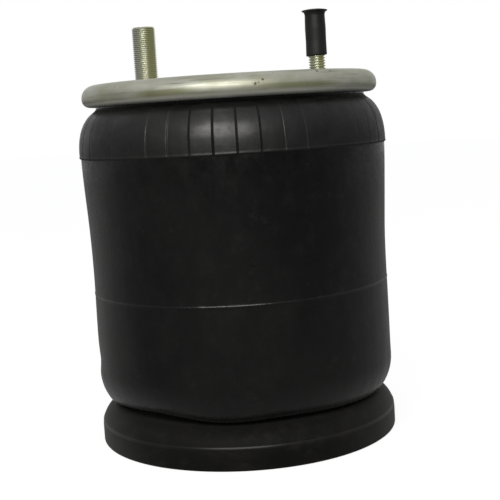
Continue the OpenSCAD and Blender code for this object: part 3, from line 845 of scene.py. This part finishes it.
def relief(path):
    # the cover's outer face with the band and the parting ridge raised on it
    s = sleeve
    raised = []
    for (r, z), (nr, nz) in zip(path, inset(path, -1)):
        lift = s["panelRise"] * bandLift(z)
        lift += s["lipRise"] * math.exp(-((z - s["lipAt"]) / s["lipWidth"]) ** 2)
        lift += s["partingRise"] * max(0, 1 - abs(z - s["partingHeight"]) / s["partingWidth"])
        raised.append((r + (nr - r) * lift, z + (nz - z) * lift))
    return raised


# where the photograph shows the rubber pushed out of true
settling = {
    # lobe swells: direction in degrees, spread in degrees, lift in millimetres
    "swells": ((-58.6, 49, 5.4), (-98.6, 17, 4.0), (-63.6, 17, -3.6), (-121, 13, 2.2)),
    "ripple": 1.6, "rippleEven": 0.4,
    "creaseAt": -146.0, "creaseSpread": 13, "creaseHeight": 66.0, "creaseTall": 9,
    "creaseDepth": 1.4, "wave": 0.7, "waveFine": 0.22,
    # radii over which a point comes to count as the side, and heights over which the lobe's
    # lift dies away upwards and the waves begin and end
    "sideOver": (100, 107), "liftOver": (42, 104), "wavesFrom": (44, 70), "wavesTo": (248, 262),
}


def settle(point):
    # bends every layer of the sleeve alike, so that none comes through the next
    s = settling
    x, y, z = (c / mm for c in point)
    r = math.hypot(x, y)
    around = math.degrees(math.atan2(y, x))
    side = fade(*s["sideOver"], r)
    lift = sum(rise * math.exp(-(degreesApart(around, at) / spread) ** 2)
               for at, spread, rise in s["swells"])
    rippled = waver(x * 0.02, y * 0.02, z * 0.02) * 0.5 + 0.5
    lift = max(0.0, lift + (rippled - s["rippleEven"]) * s["ripple"])
    z += lift * (1 - fade(*s["liftOver"], z))
    body = fade(*s["wavesFrom"], z) * (1 - fade(*s["wavesTo"], z)) * side
    push = s["wave"] * waver(x * 0.011 + 3, y * 0.011 + 7, z * 0.009 + 1)
    push += s["waveFine"] * waver(x * 0.035, y * 0.035, z * 0.035)
    dent = math.exp(-((degreesApart(around, s["creaseAt"]) / s["creaseSpread"]) ** 2
                      + ((z - s["creaseHeight"]) / s["creaseTall"]) ** 2))
    r += (push - s["creaseDepth"] * dent) * body
    angle = math.radians(around)
    return Vector((r * math.cos(angle), r * math.sin(angle), z)) * mm


def settleAll(piece):
    for vertex in piece.data.vertices:
        vertex.co = settle(vertex.co)


def upperBead():
    # foot of the cover inside the crimped rim, from its inner face to its outer corner
    s = sleeve
    inside, top = s["neckRadius"] - s["beadFoot"], s["plateUnder"] - s["gap"]
    foot = [(inside, s["lipTop"] + s["gap"]), (inside, top - 1), (inside + 1, top)]
    return foot + arcPath(*s["footCorner"], 90, 0, 6) + arcPath(*s["lipCorner"], 0, -90, 4)


def radiusAt(face, z):
    # radius of a face, given as sorted (height, radius) points, at a height
    below = max((point for point in face if point[0] <= z), default=face[0])
    above = min((point for point in face if point[0] >= z), default=face[-1])
    share = (z - below[0]) / max(above[0] - below[0], 1e-6)
    return below[1] + (above[1] - below[1]) * share


panels = {
    "count": 45, "firstGroove": -1.0, "grooveDepth": 1.15,
    # columns of points of one panel as shares of its width, bunched at the groove
    "columns": (0, 0.024, 0.045, 0.066, 0.35, 0.65, 0.934, 0.955, 0.976),
    "groove": (0, 1, 8), "edges": (2, 7), "nearGroove": (1, 2, 3, 6, 7, 8), "middle": (4, 5),
    # direction of the polished panel and its spread, then direction and half width of the
    # blocks where the grooves run out and of those where their edges are rubbed pale, partly worn
    # and partly a painted highlight, in degrees
    "polishedAt": -63.0, "polishSpread": 6.5,
    "smoothAt": ((-105, 13), (-14.5, 12)), "wornAt": ((-84.5, 7), (-37, 7)),
    # grooves wander, and open wider where the panel is polished: shares of a panel's width
    "drift": 0.012, "widened": 0.02,
    # how far a groove fills where it is shallow or worn, and its depth beside the bottom
    "filled": 0.85, "wornFill": 0.95, "wornFade": 0.35, "besideBottom": 0.55,
    "polishLeast": 0.1, "polishUsual": 0.22, "polishPeak": 0.75, "polishUneven": 0.35,
    "grooveDull": 0.7,
    # millimetres by which a panel is crowned, uneven and tilted
    "crowned": 0.1, "uneven": 0.14, "tilted": 1.6,
    # millimetres inside the neck and the outer face where points still belong to that face
    "neckSkin": 1.3, "skin": 1.2,
}


def grooveSunk(groove, z, handled, plain, rubbed):
    # depth of a groove, which is clean cut in the polished place and fades out elsewhere
    p = panels
    shallow = 0.5 + max(waver(groove, 4.0, z * 0.02), 1.25 * waver(groove * 0.31, 6, 2))
    shallow = max(held(shallow) * (1 - 0.9 * handled), p["wornFill"] * rubbed)
    return (p["grooveDepth"] - p["filled"] * shallow) * (1 - max(plain, p["wornFade"] * rubbed))


def panelRaised(panel, share, z):
    p = panels
    crowned = p["crowned"] * (1 - (2 * share - 1) ** 2)
    tilted = p["tilted"] * waver(panel * 1.7, 9.0, 1.0) * (share - 0.5)
    return crowned + p["uneven"] * waver(panel * 3.1, 0.5, z * 0.03) + tilted


def edgeWornAndLit(place, panel, column, z, plain, rubbed):
    # pale edges of a groove, partly worn and partly a painted highlight on the rim, whole on one
    # edge where hands have rubbed it
    streak = held(waver(panel * 5.7, column * 2.3, z * 0.11) * 2 + 0.3)
    streak *= (0.2 + 0.8 * rubbed) * (1 - plain)
    if column == panels["edges"][0]:
        streak = max(streak, (0.75 + 0.25 * noise.noise(place * 90)) * rubbed)
    return streak


def makeCover():
    s, p = sleeve, panels
    count, share, width = p["count"], len(p["columns"]), 360 / p["count"]
    inner = inset(wallPath(), s["cover"][1])
    wall = turned("bellowsCover", relief(wallPath()) + inner[::-1] + upperBead(), count * share, 40)
    face = sorted((z, r) for r, z in wallPath() if z > s["bandLow"] - 2)
    wornAndLitEdges = wall.data.attributes.new("edgeWearAndHighlight", "FLOAT", "POINT").data
    polish = wall.data.attributes.new("panelPolish", "FLOAT", "POINT").data
    for vertex, x, y, z, r in placesOf(wall):
        turn = math.degrees(math.atan2(y, x)) % 360
        panel, column = divmod(round(turn * count * share / 360) % (count * share), share)
        across = p["columns"][column]
        if column not in p["middle"]:
            across += p["drift"] * waver(panel * 7.3, z * 0.06, 2.0)
        heading = p["firstGroove"] + width * (panel + across)
        around = math.radians(heading)
        lift = bandLift(z)
        if lift > 0 and r > max(s["neckRadius"] - p["neckSkin"], radiusAt(face, z) - p["skin"]):
            handled = math.exp(-(degreesApart(heading, p["polishedAt"]) / p["polishSpread"]) ** 2)
            plain, rubbed = within(p["smoothAt"], heading), within(p["wornAt"], heading)
            side = 1 if column < p["middle"][0] else -1
            if column in p["nearGroove"]:
                around += math.radians(width * p["widened"] * handled * side)
            shine = p["polishUsual"] + p["polishPeak"] * handled
            shine = max(p["polishLeast"], shine + p["polishUneven"] * waver(panel * 2.3, 4.0, 1.0))
            if column in p["groove"]:
                sunk = grooveSunk(panel + (side < 0), z, handled, plain, rubbed) * lift
                r -= sunk * (1 if column == 0 else p["besideBottom"])
                shine *= 1 - p["grooveDull"] * handled
            else:
                r += panelRaised(panel, p["columns"][column], z) * lift
            # pale groove edges: partly worn, partly a painted highlight on their rims
            if column in p["edges"]:
                wornAndLitEdges[vertex.index].value = lift * edgeWornAndLit(vertex.co, panel, column, z, plain,
                                                           rubbed)
            polish[vertex.index].value = shine * lift
        vertex.co = settle(Vector((r * math.cos(around), r * math.sin(around), z)) * mm)
    smoothed(wall, 36)
    finishPiece(wall, "sleeve_rubber", None, "sleeve_cover")

    path = legPath()
    seat, top = s["deckHeight"] + s["gap"], s["deckHeight"] + s["gap"] + s["lowBeadHeight"]
    bead = filleted([(s["lowBeadOut"], seat, 0), (s["lowBeadIn"], seat, 1.2),
                     (s["lowBeadIn"], top, 1.5), (s["lowBeadOut"], top, 2.5)], 1)
    leg = turned("bellowsLeg", path[:-1] + bead + inset(path, s["cover"][1])[::-1][1:], 128, 40)
    settleAll(leg)
    finishPiece(leg, "sleeve_rubber", "lower", "sleeve_cover")
    return wall


def makeLayer(name, node, layer, slotName, finish):
    # an inner layer: its wall ends under the crimped bead, its leg at the lower bead
    depth, thickness = sleeve[layer]
    wall = wallPath()
    wall[0] = (wall[0][0], sleeve["lipTop"])
    made = []
    for part, path, steps, body in (("Wall", wall, 144, None), ("Leg", legPath(), 128, "lower")):
        outline = inset(path, depth) + inset(path, depth + thickness)[::-1]
        piece = turned(name + part, outline, steps, 40)
        settleAll(piece)
        made.append((piece, body))
    for piece, body in made:
        finishPiece(piece, slotName, body, node, finish=finish)
    return made[0][0]


walls = [makeCover(),
         makeLayer("outerPly", "outer_ply", "outerPly", "cord_ply", "outer_cord"),
         makeLayer("innerPly", "inner_ply", "innerPly", "cord_ply", "inner_cord"),
         makeLayer("airLiner", "inner_liner", "liner", "liner_rubber", "liner_rubber")]
for wall in walls:
    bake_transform(wall)
print("sleeve layers done")

# Bead wires, twisted from strands

beadWire = {"size": 2.6, "strandRelief": 0.5, "strands": 3, "turns": 13}


def makeBeadWire(name, node, body, radius, height):
    b = beadWire
    clearSelection()
    bpy.ops.mesh.primitive_torus_add(major_radius=radius * mm, minor_radius=b["size"] * mm,
                                     major_segments=260, minor_segments=28)
    wire = bpy.context.object
    wire.name = name
    for vertex, x, y, z, reach in placesOf(wire):
        around = math.atan2(y, x)
        spin = math.atan2(z, reach - radius)
        lay = abs(math.cos(b["strands"] * spin + b["turns"] * around))
        size = b["size"] - b["strandRelief"] * (1 - lay)
        r = radius + size * math.cos(spin)
        vertex.co = Vector((r * math.cos(around), r * math.sin(around),
                            height + size * math.sin(spin))) * mm
    smoothed(wire, 50)
    finishPiece(wire, "bead_steel", body, node)


makeBeadWire("upperBeadWire", "upper_bead_wire", "upper", 106.45, 272.8)
makeBeadWire("lowerBeadWire", "lower_bead_wire", "lower", 68.65, 134.5)

# Bead plate and studs

plate = {
    "radius": 115.5, "top": 281.2, "gauge": 3.0, "lip": 105.6, "low": 264.4,
    "cornerTop": 10.0, "cornerLow": 6.0, "inletHole": 10.63, "studHole": 7.45,
    "grooveRadius": 48.0, "grooveWidth": 8.0, "grooveDepth": 1.5,
    # how far the rim is out of true, and the radii over which it comes to be so
    "rimOut": 0.0016, "rimUp": 0.18, "rimOver": (108, 114),
}


def rimCorner(reach, height, size, start, end, steps):
    return [(r, z, 0) for r, z in arcPath(reach, height, size, start, end, steps)]


def makePlatePiece():
    p = plate
    top, under = p["top"], p["top"] - p["gauge"]
    ring, half, deep = p["grooveRadius"], p["grooveWidth"] / 2, p["grooveDepth"]
    high = (p["radius"] - p["cornerTop"], top - p["cornerTop"])
    low = (p["radius"] - p["cornerLow"], p["low"] + p["cornerLow"])

    def pressed(z):
        return [(0, z, 0), (ring - half, z, 3), (ring - half / 2, z - deep, 3),
                (ring + half / 2, z - deep, 3), (ring + half, z, 3)]

    rim = pressed(top) + rimCorner(*high, p["cornerTop"], 90, 0, 12)
    rim += rimCorner(*low, p["cornerLow"], 0, -90, 9)
    rim += [(p["lip"], p["low"], 0.9), (p["lip"], p["low"] + p["gauge"], 0.5)]
    rim += rimCorner(*low, p["cornerLow"] - p["gauge"], -90, 0, 7)
    rim += rimCorner(*high, p["cornerTop"] - p["gauge"], 0, 90, 9) + pressed(under)[::-1]
    piece = turned("crimpedPlate", filleted(rim, 4), 192, 30)
    for x, size in ((-studAxis, p["inletHole"]), (studAxis, p["studHole"])):
        drill = turned("drill", [(0, under - 1), (size, under - 1), (size, top + 1), (0, top + 1)],
                       64)
        shift(drill, x=x)
        combine(piece, drill)
    for vertex, x, y, z, r in placesOf(piece):
        edge = fade(*p["rimOver"], r)
        vertex.co.xy *= 1 + p["rimOut"] * waver(x * 0.045, y * 0.045, z * 0.045) * edge
        vertex.co.z += p["rimUp"] * mm * waver(x * 0.03, y * 0.03, 0.15) * edge
    smoothed(piece, 30)
    finishPiece(piece, "zinc_plate", "upper", "bead_plate")


studs = {"headLip": 4.5, "headHeight": 5.0, "collar": 1.0, "sunk": 0.4, "chamfer": 1.2}


def studHead(name, radius, inner):
    # head under the plate, and the collar that fills its hole
    top, under = plate["top"], plate["top"] - plate["gauge"]
    low = under - studs["headHeight"]
    head, collar = radius + studs["headLip"], radius + studs["collar"]
    return turned(name, filleted([
        (inner, low, 0.4 if inner else 0), (head, low, 1.0), (head, under, 0.4),
        (collar, under, 0), (collar, top, 0.3), (inner, top, 0)]), 72)


def makeInletStud():
    s = {"radius": 9.525, "pitch": 1.5875, "length": 46.4, "port": 5.56, "portDepth": 18,
         "portPitch": 1.411, "portThread": 0.8, "passage": 4.0, "sinkWide": 1.9, "sinkDeep": 1.4}
    top = plate["top"] + s["length"]
    portLow = top - s["portDepth"]
    # odd numbers of steps keep the rows of points off the planes that trim the threads
    rod = threadedRod("inletStud", s["radius"], s["radius"] - threadDepth * s["pitch"], s["pitch"],
                      plate["top"] - studs["sunk"], top, studs["chamfer"], steps=47, crest=0.26)
    tap = threadedRod("tap", s["port"] + s["portThread"], s["port"], s["portPitch"], portLow,
                      top + 1.4, steps=35)
    splitManySided(rod)
    splitManySided(tap)
    combine(rod, tap)
    combine(rod, turned("bore", [(0, plate["top"] - 3), (s["passage"], plate["top"] - 3),
                                 (s["passage"], portLow + 0.2), (0, portLow + 0.2)], 48))
    combine(rod, turned("sink", [(0, top - s["sinkDeep"]), (s["port"], top - s["sinkDeep"]),
                                 (s["port"] + s["sinkWide"], top + 0.5), (0, top + 0.5)], 48))
    smoothed(rod, threadCrease)
    stud = joined("inletStud", [rod, studHead("inletHead", s["radius"], s["passage"])])
    shift(stud, x=-studAxis)
    finishPiece(stud, "zinc_stud", "upper", "inlet_stud", finish="inlet_zinc")


def makeMountingStud():
    s = {"radius": 6.35, "pitch": 1.954, "length": 41.3}
    rod = threadedRod("mountingStud", s["radius"], s["radius"] - threadDepth * s["pitch"],
                      s["pitch"], plate["top"] - studs["sunk"], plate["top"] + s["length"],
                      studs["chamfer"])
    stud = joined("mountingStud", [rod, studHead("mountingHead", s["radius"], 0)])
    shift(stud, x=studAxis)
    finishPiece(stud, "zinc_stud", "upper", "mounting_stud", finish="mounting_zinc")


def makeCap():
    s = {"bore": 6.45, "wall": 1.33, "low": 292.7, "top": 326.7, "end": 2.2, "flare": 1.75,
         "flangeTop": 0.7, "flangeLow": 1.5, "swell": 0.16, "skew": 0.4}
    out, low, top = s["bore"] + s["wall"], s["low"], s["top"]
    outline = filleted([
        (s["bore"], low, 0.3), (out + 0.1, low, 0.5), (out + 0.05, low + 2.5, 2),
        (out - 0.15, low + 11, 6), (out, low + 20, 6), (out - 0.3, top - 4.2, 1.5),
        (out + 0.2, top - 2.2, 0.8), (out + s["flare"], top - s["flangeLow"], 0.3),
        (out + s["flare"], top - s["flangeTop"], 0.35), (out - 2, top, 2), (0, top, 0),
        (0, top - s["end"], 0), (s["bore"], top - s["end"], 0.5)], 5)
    cap = turned("studCap", outline, 72, 40)
    for vertex, x, y, z, r in placesOf(cap):
        if r > s["bore"] + 0.4 or z > top - s["end"] - 0.2:
            vertex.co.xy *= 1 + s["swell"] * waver(x * 0.12, y * 0.12, z * 0.09) / max(r, 2)
        if z < low + 1.2:
            vertex.co.z += s["skew"] * mm * x / out
    shift(cap, x=studAxis)
    finishPiece(cap, "cap_vinyl", "cap", "stud_cap")


makePlatePiece()
makeInletStud()
makeMountingStud()
makeCap()
print("plate, studs and cap done")

# Piston: one moulding with ribs below, as wide as the sleeve

piston = {
    "base": 118.3, "band": 12.0, "shoulder": 18.0, "ledge": 30.0, "wall": 96.0, "deck": 128.0,
    "edge": 10.0, "foot": 4.0, "thick": 5.0, "under": 118.0, "hub": 26.0, "recess": 15.6,
    "seat": 84.0, "boltHole": 8.44, "ribs": 16, "rib": 4.0, "ring": 57.15, "ringWall": 4.3,
    "boss": 12.1, "inserts": 4, "insertHole": 8.6, "insertDepth": 24.0,
    "bead": 0.26, "beadAt": 16.6, "beadWidth": 0.95, "finLow": 0.3,
    "overlap": 1,   # how far ribs, ring and bosses run into the walls that they meet
}


def makeShell():
    # the moulding's section, round from the bolt's hole over the deck and back inside the hub
    p = piston
    corner = (p["base"] - p["shoulder"], p["band"])
    inside, ledgeUnder = p["wall"] - p["thick"], p["ledge"] - p["thick"]
    shell = [(p["boltHole"], p["deck"]), (p["wall"] - p["edge"], p["deck"])]
    shell += arcPath(p["wall"] - p["edge"], p["deck"] - p["edge"], p["edge"], 90, 0, 10)[1:]
    shell += arcPath(p["wall"] + p["foot"], p["ledge"] + p["foot"], p["foot"], 180, 270, 6)
    for r, z in arcPath(*corner, p["shoulder"], 90, 0, 40):
        swell = p["bead"] * math.exp(-((z - p["beadAt"]) / p["beadWidth"]) ** 2)
        away = math.atan2(z - corner[1], r - corner[0])
        shell.append((r + swell * math.cos(away), z + swell * math.sin(away)))
    shell += filleted([(p["base"], 5, 0), (p["base"], 0, 1.5), (p["base"] - p["thick"], 0, 0.6),
                       (p["base"] - p["thick"], 6, 0)], 4)[1:-1]
    shell += arcPath(*corner, p["shoulder"] - p["thick"], 0, 90, 9)
    shell += filleted([(corner[0], ledgeUnder, 0), (p["wall"], ledgeUnder, 2),
                       (p["wall"], 0, 0.6), (inside, 0, 0.6), (inside, p["under"], 2.5),
                       (p["hub"], p["under"], 2.5), (p["hub"], 0, 0.6), (p["recess"], 0, 0.8),
                       (p["recess"], p["seat"], 0), (p["boltHole"], p["seat"], 0)], 3)[1:]
    return turned("pistonMoulding", shell, 160, 34)


def makeRibs():
    # webs from the hub to the wall
    p = piston
    clearSelection()
    bpy.ops.mesh.primitive_cube_add(size=1, location=(0, 0, 0))
    rib = bpy.context.object
    inside, outside = p["hub"] - p["overlap"], p["wall"] - p["thick"] + p["overlap"]
    tall = p["under"] + p["overlap"]
    for vertex in rib.data.vertices:
        vertex.co = Vector(((inside + outside) / 2 + vertex.co.x * (outside - inside),
                            vertex.co.y * p["rib"], (vertex.co.z + 0.5) * tall)) * mm
    soften = rib.modifiers.new("soften", "BEVEL")
    soften.width = 0.5 * mm
    soften.segments = 2
    bpy.ops.object.modifier_apply(modifier=soften.name)
    repeatRound(rib, p["ribs"])
    return rib


def makeFins():
    # short ribs in the channel under the shoulder, which follow its curve
    p = piston
    into = 0.8   # how far a fin runs into the wall round it
    inner, outer = p["wall"] - p["overlap"], p["base"] - p["thick"] + into
    channel = [(inner, p["finLow"]), (outer, p["finLow"]), (outer, p["band"])]
    channel += arcPath(p["base"] - p["shoulder"], p["band"], p["shoulder"] - p["thick"] + into, 0,
                       90, 6)[1:]
    channel.append((inner, p["ledge"] - p["thick"] + into))
    fin = loopOf("fin", channel, y=-p["rib"] / 2, fill="NGON")
    openEdit(fin)
    bpy.ops.mesh.extrude_region_move(TRANSFORM_OT_translate={"value": (0, p["rib"] * mm, 0)})
    bpy.ops.mesh.select_all(action="SELECT")
    bpy.ops.mesh.normals_make_consistent(inside=False)
    closeEdit()
    repeatRound(fin, p["ribs"])
    return fin


def roundTheRing(piece):
    # one at each insert's place
    diagonal = piston["ring"] * math.cos(math.radians(45))
    shift(piece, x=diagonal, y=diagonal)
    repeatRound(piece, piston["inserts"])
    return piece


def makePiston():
    p = piston
    body = makeShell()
    inside, outside = p["ring"] - p["ringWall"] / 2, p["ring"] + p["ringWall"] / 2
    top = p["under"] + p["overlap"]
    ring = turned("ring", filleted([(inside, 0, 0.6), (outside, 0, 0.6), (outside, top, 0),
                                    (inside, top, 0)], 2), 96)
    webs = joined("webs", [ring, makeRibs()])
    fin = makeFins()
    boss = roundTheRing(turned("boss", filleted([
        (p["insertHole"], 0, 0.5), (p["boss"], 0, 0.6), (p["boss"], top, 0), (0, top, 0),
        (0, p["insertDepth"], 0), (p["insertHole"], p["insertDepth"], 0)], 2), 48))
    room, high = p["boss"] - 0.6, p["insertDepth"] + 3
    combine(webs, roundTheRing(turned("plug", [(0, -2), (room, -2), (room, high), (0, high)], 48)))
    moulding = joined("pistonMoulding", [body, webs, fin, boss])
    smoothed(moulding, 34)
    finishPiece(moulding, "piston_plastic", "lower", "piston", "piston_skirt", "piston_hub",
                "piston_ring", "piston_ribs")


def makeInserts():
    s = {"outer": 8.5, "hole": 5.4, "length": 24.0, "depth": 20.0, "pitch": 1.954,
         "thread": 0.75, "sinkWide": 1.2, "sinkDeep": 1.4}
    insert = turned("baseInserts", filleted([
        (0, s["length"], 0), (0, s["depth"], 0), (s["hole"], s["depth"], 0),
        (s["hole"], s["sinkDeep"], 0), (s["hole"] + s["sinkWide"], 0, 0), (s["outer"], 0, 0.4),
        (s["outer"], s["length"], 0.4)], 3), 64)
    combine(insert, threadedRod("tap", s["hole"] + s["thread"], s["hole"] - 0.05, s["pitch"], -1.2,
                                s["depth"] - 1, steps=32))
    smoothed(insert, threadCrease)
    roundTheRing(insert)
    finishPiece(insert, "insert_steel", "lower", "base_inserts")


def makePistonBolt():
    s = {"radius": 7.94, "pitch": 2.309, "flats": 23.8, "headLow": 71.0, "seat": 81.0,
         "threadLow": 112.0, "top": 143.0, "chamfer": 1.4}
    thread = threadedRod("pistonBolt", s["radius"], s["radius"] - threadDepth * s["pitch"],
                         s["pitch"], s["threadLow"], s["top"], s["chamfer"])
    low, out, high = s["seat"] - 1, s["radius"] - 0.15, s["threadLow"] + 0.2
    shank = turned("shank", filleted([(0, low, 0), (out, low, 0), (out, high, 1.0), (0, high, 0)],
                                     3), 64)
    head = hexBar("head", s["flats"], s["headLow"], s["seat"])
    bolt = joined("pistonBolt", [thread, shank, head])
    finishPiece(bolt, "fastener_steel", "lower", "piston_bolt")


def makeWasher(name, node, bore, outer, low, high):
    washer = turned(name, filleted([(bore, low, 0.3), (outer, low, 0.4), (outer, high, 0.7),
                                    (bore, high, 0.3)], 3), 72)
    finishPiece(washer, "fastener_steel", "lower", node)


def makeClosure():
    s = {"boltHole": 8.04, "low": 128.0, "spool": 60.0, "flangeUnder": 141.0, "flange": 74.0,
         "flangeTop": 145.0, "pan": 56.0, "floor": 132.0, "boss": 18.0, "bossTop": 150.0,
         "stud": 6.0, "studTop": 175.3, "studPitch": 1.75, "studThread": 1.07, "holeTop": 144.0}
    body = turned("endClosure", filleted([
        (s["boltHole"], s["low"], 0.5), (s["spool"], s["low"], 2.5),
        (s["spool"], s["flangeUnder"], 1.5), (s["flange"], s["flangeUnder"], 0.6),
        (s["flange"], s["flangeTop"], 2.2), (s["pan"], s["flangeTop"], 1.8),
        (s["pan"], s["floor"], 2.5), (s["boss"], s["floor"], 1.5), (s["boss"], s["bossTop"], 0.8),
        (0, s["bossTop"], 0), (0, s["holeTop"], 0), (s["boltHole"], s["holeTop"], 0)], 4), 128)
    stud = threadedRod("closureStud", s["stud"], s["stud"] - s["studThread"], s["studPitch"],
                       s["bossTop"] - 0.3, s["studTop"], 1.0)
    finishPiece(joined("endClosure", [body, stud]), "closure_steel", "lower", "end_closure")


bumper = {
    "inside": 18.3, "low": 132.3, "base": 55.7, "step": 146.0, "shoulder": 50, "neck": 38,
    "belly": 43, "crown": 27, "top": 207.7, "bore": 16, "seat": 160.3, "hole": 6.5,
    "holeLow": 150.3, "flutes": 8, "fluteDepth": 0.6, "fluteFrom": 20,
    "fluteLow": (150, 160), "fluteHigh": (205, 190),   # heights that the flutes fade over
}


def makeBumper():
    b = bumper
    fifth = (b["top"] - b["step"]) / 5
    levels = [b["step"] + share * fifth for share in (1, 2, 2.6, 2.4, 3, 4.2)]
    path = [(b["inside"], b["low"]), (b["base"] - 1.2, b["low"]), (b["base"], b["low"] + 1.2),
            (b["base"], b["step"])]
    path += curvePath((b["shoulder"], b["step"] + 3), (b["shoulder"], levels[0]),
                      (b["neck"], levels[0]), (b["neck"], levels[1]), 12)
    path += curvePath((b["neck"], levels[1]), (b["neck"], levels[2]), (b["belly"], levels[3]),
                      (b["belly"], levels[4]), 9)
    path += curvePath((b["belly"], levels[4]), (b["belly"], levels[5]), (35, b["top"]),
                      (b["crown"], b["top"]), 12)
    path += [(b["bore"] + 1.5, b["top"]), (b["bore"], b["top"] - 1.5), (b["bore"], b["seat"]),
             (b["hole"], b["seat"]), (b["hole"], b["holeLow"]), (b["inside"], b["holeLow"])]
    piece = turned("jounceBumper", path, 112, 38)
    for vertex, x, y, z, r in placesOf(piece):
        if r > b["fluteFrom"]:
            flute = max(0, math.cos(b["flutes"] * math.atan2(y, x))) ** 4
            ends = fade(*b["fluteLow"], z) * fade(*b["fluteHigh"], z)
            vertex.co.xy *= 1 - b["fluteDepth"] * flute * ends / r
    finishPiece(piece, "bumper_rubber", "lower", "bumper")


def makeBumperNut():
    s = {"flats": 18.0, "low": 163.3, "high": 173.3, "hole": 6.1}
    nut = hexBar("bumperNut", s["flats"], s["low"], s["high"])
    combine(nut, turned("bore", [(0, s["low"] - 1.3), (s["hole"], s["low"] - 1.3),
                                 (s["hole"], s["high"] + 1.7), (0, s["high"] + 1.7)], 48))
    smoothed(nut, 28)
    finishPiece(nut, "fastener_steel", "lower", "bumper_nut")


makePiston()
makeInserts()
makePistonBolt()
makeWasher("pistonWasher", "piston_washer", 8.44, 14.6, 81.0, 84.0)
makeClosure()
makeBumper()
makeWasher("bumperWasher", "bumper_washer", 6.5, 13.5, 160.3, 163.3)
makeBumperNut()
print("piston, closure and bumper done")
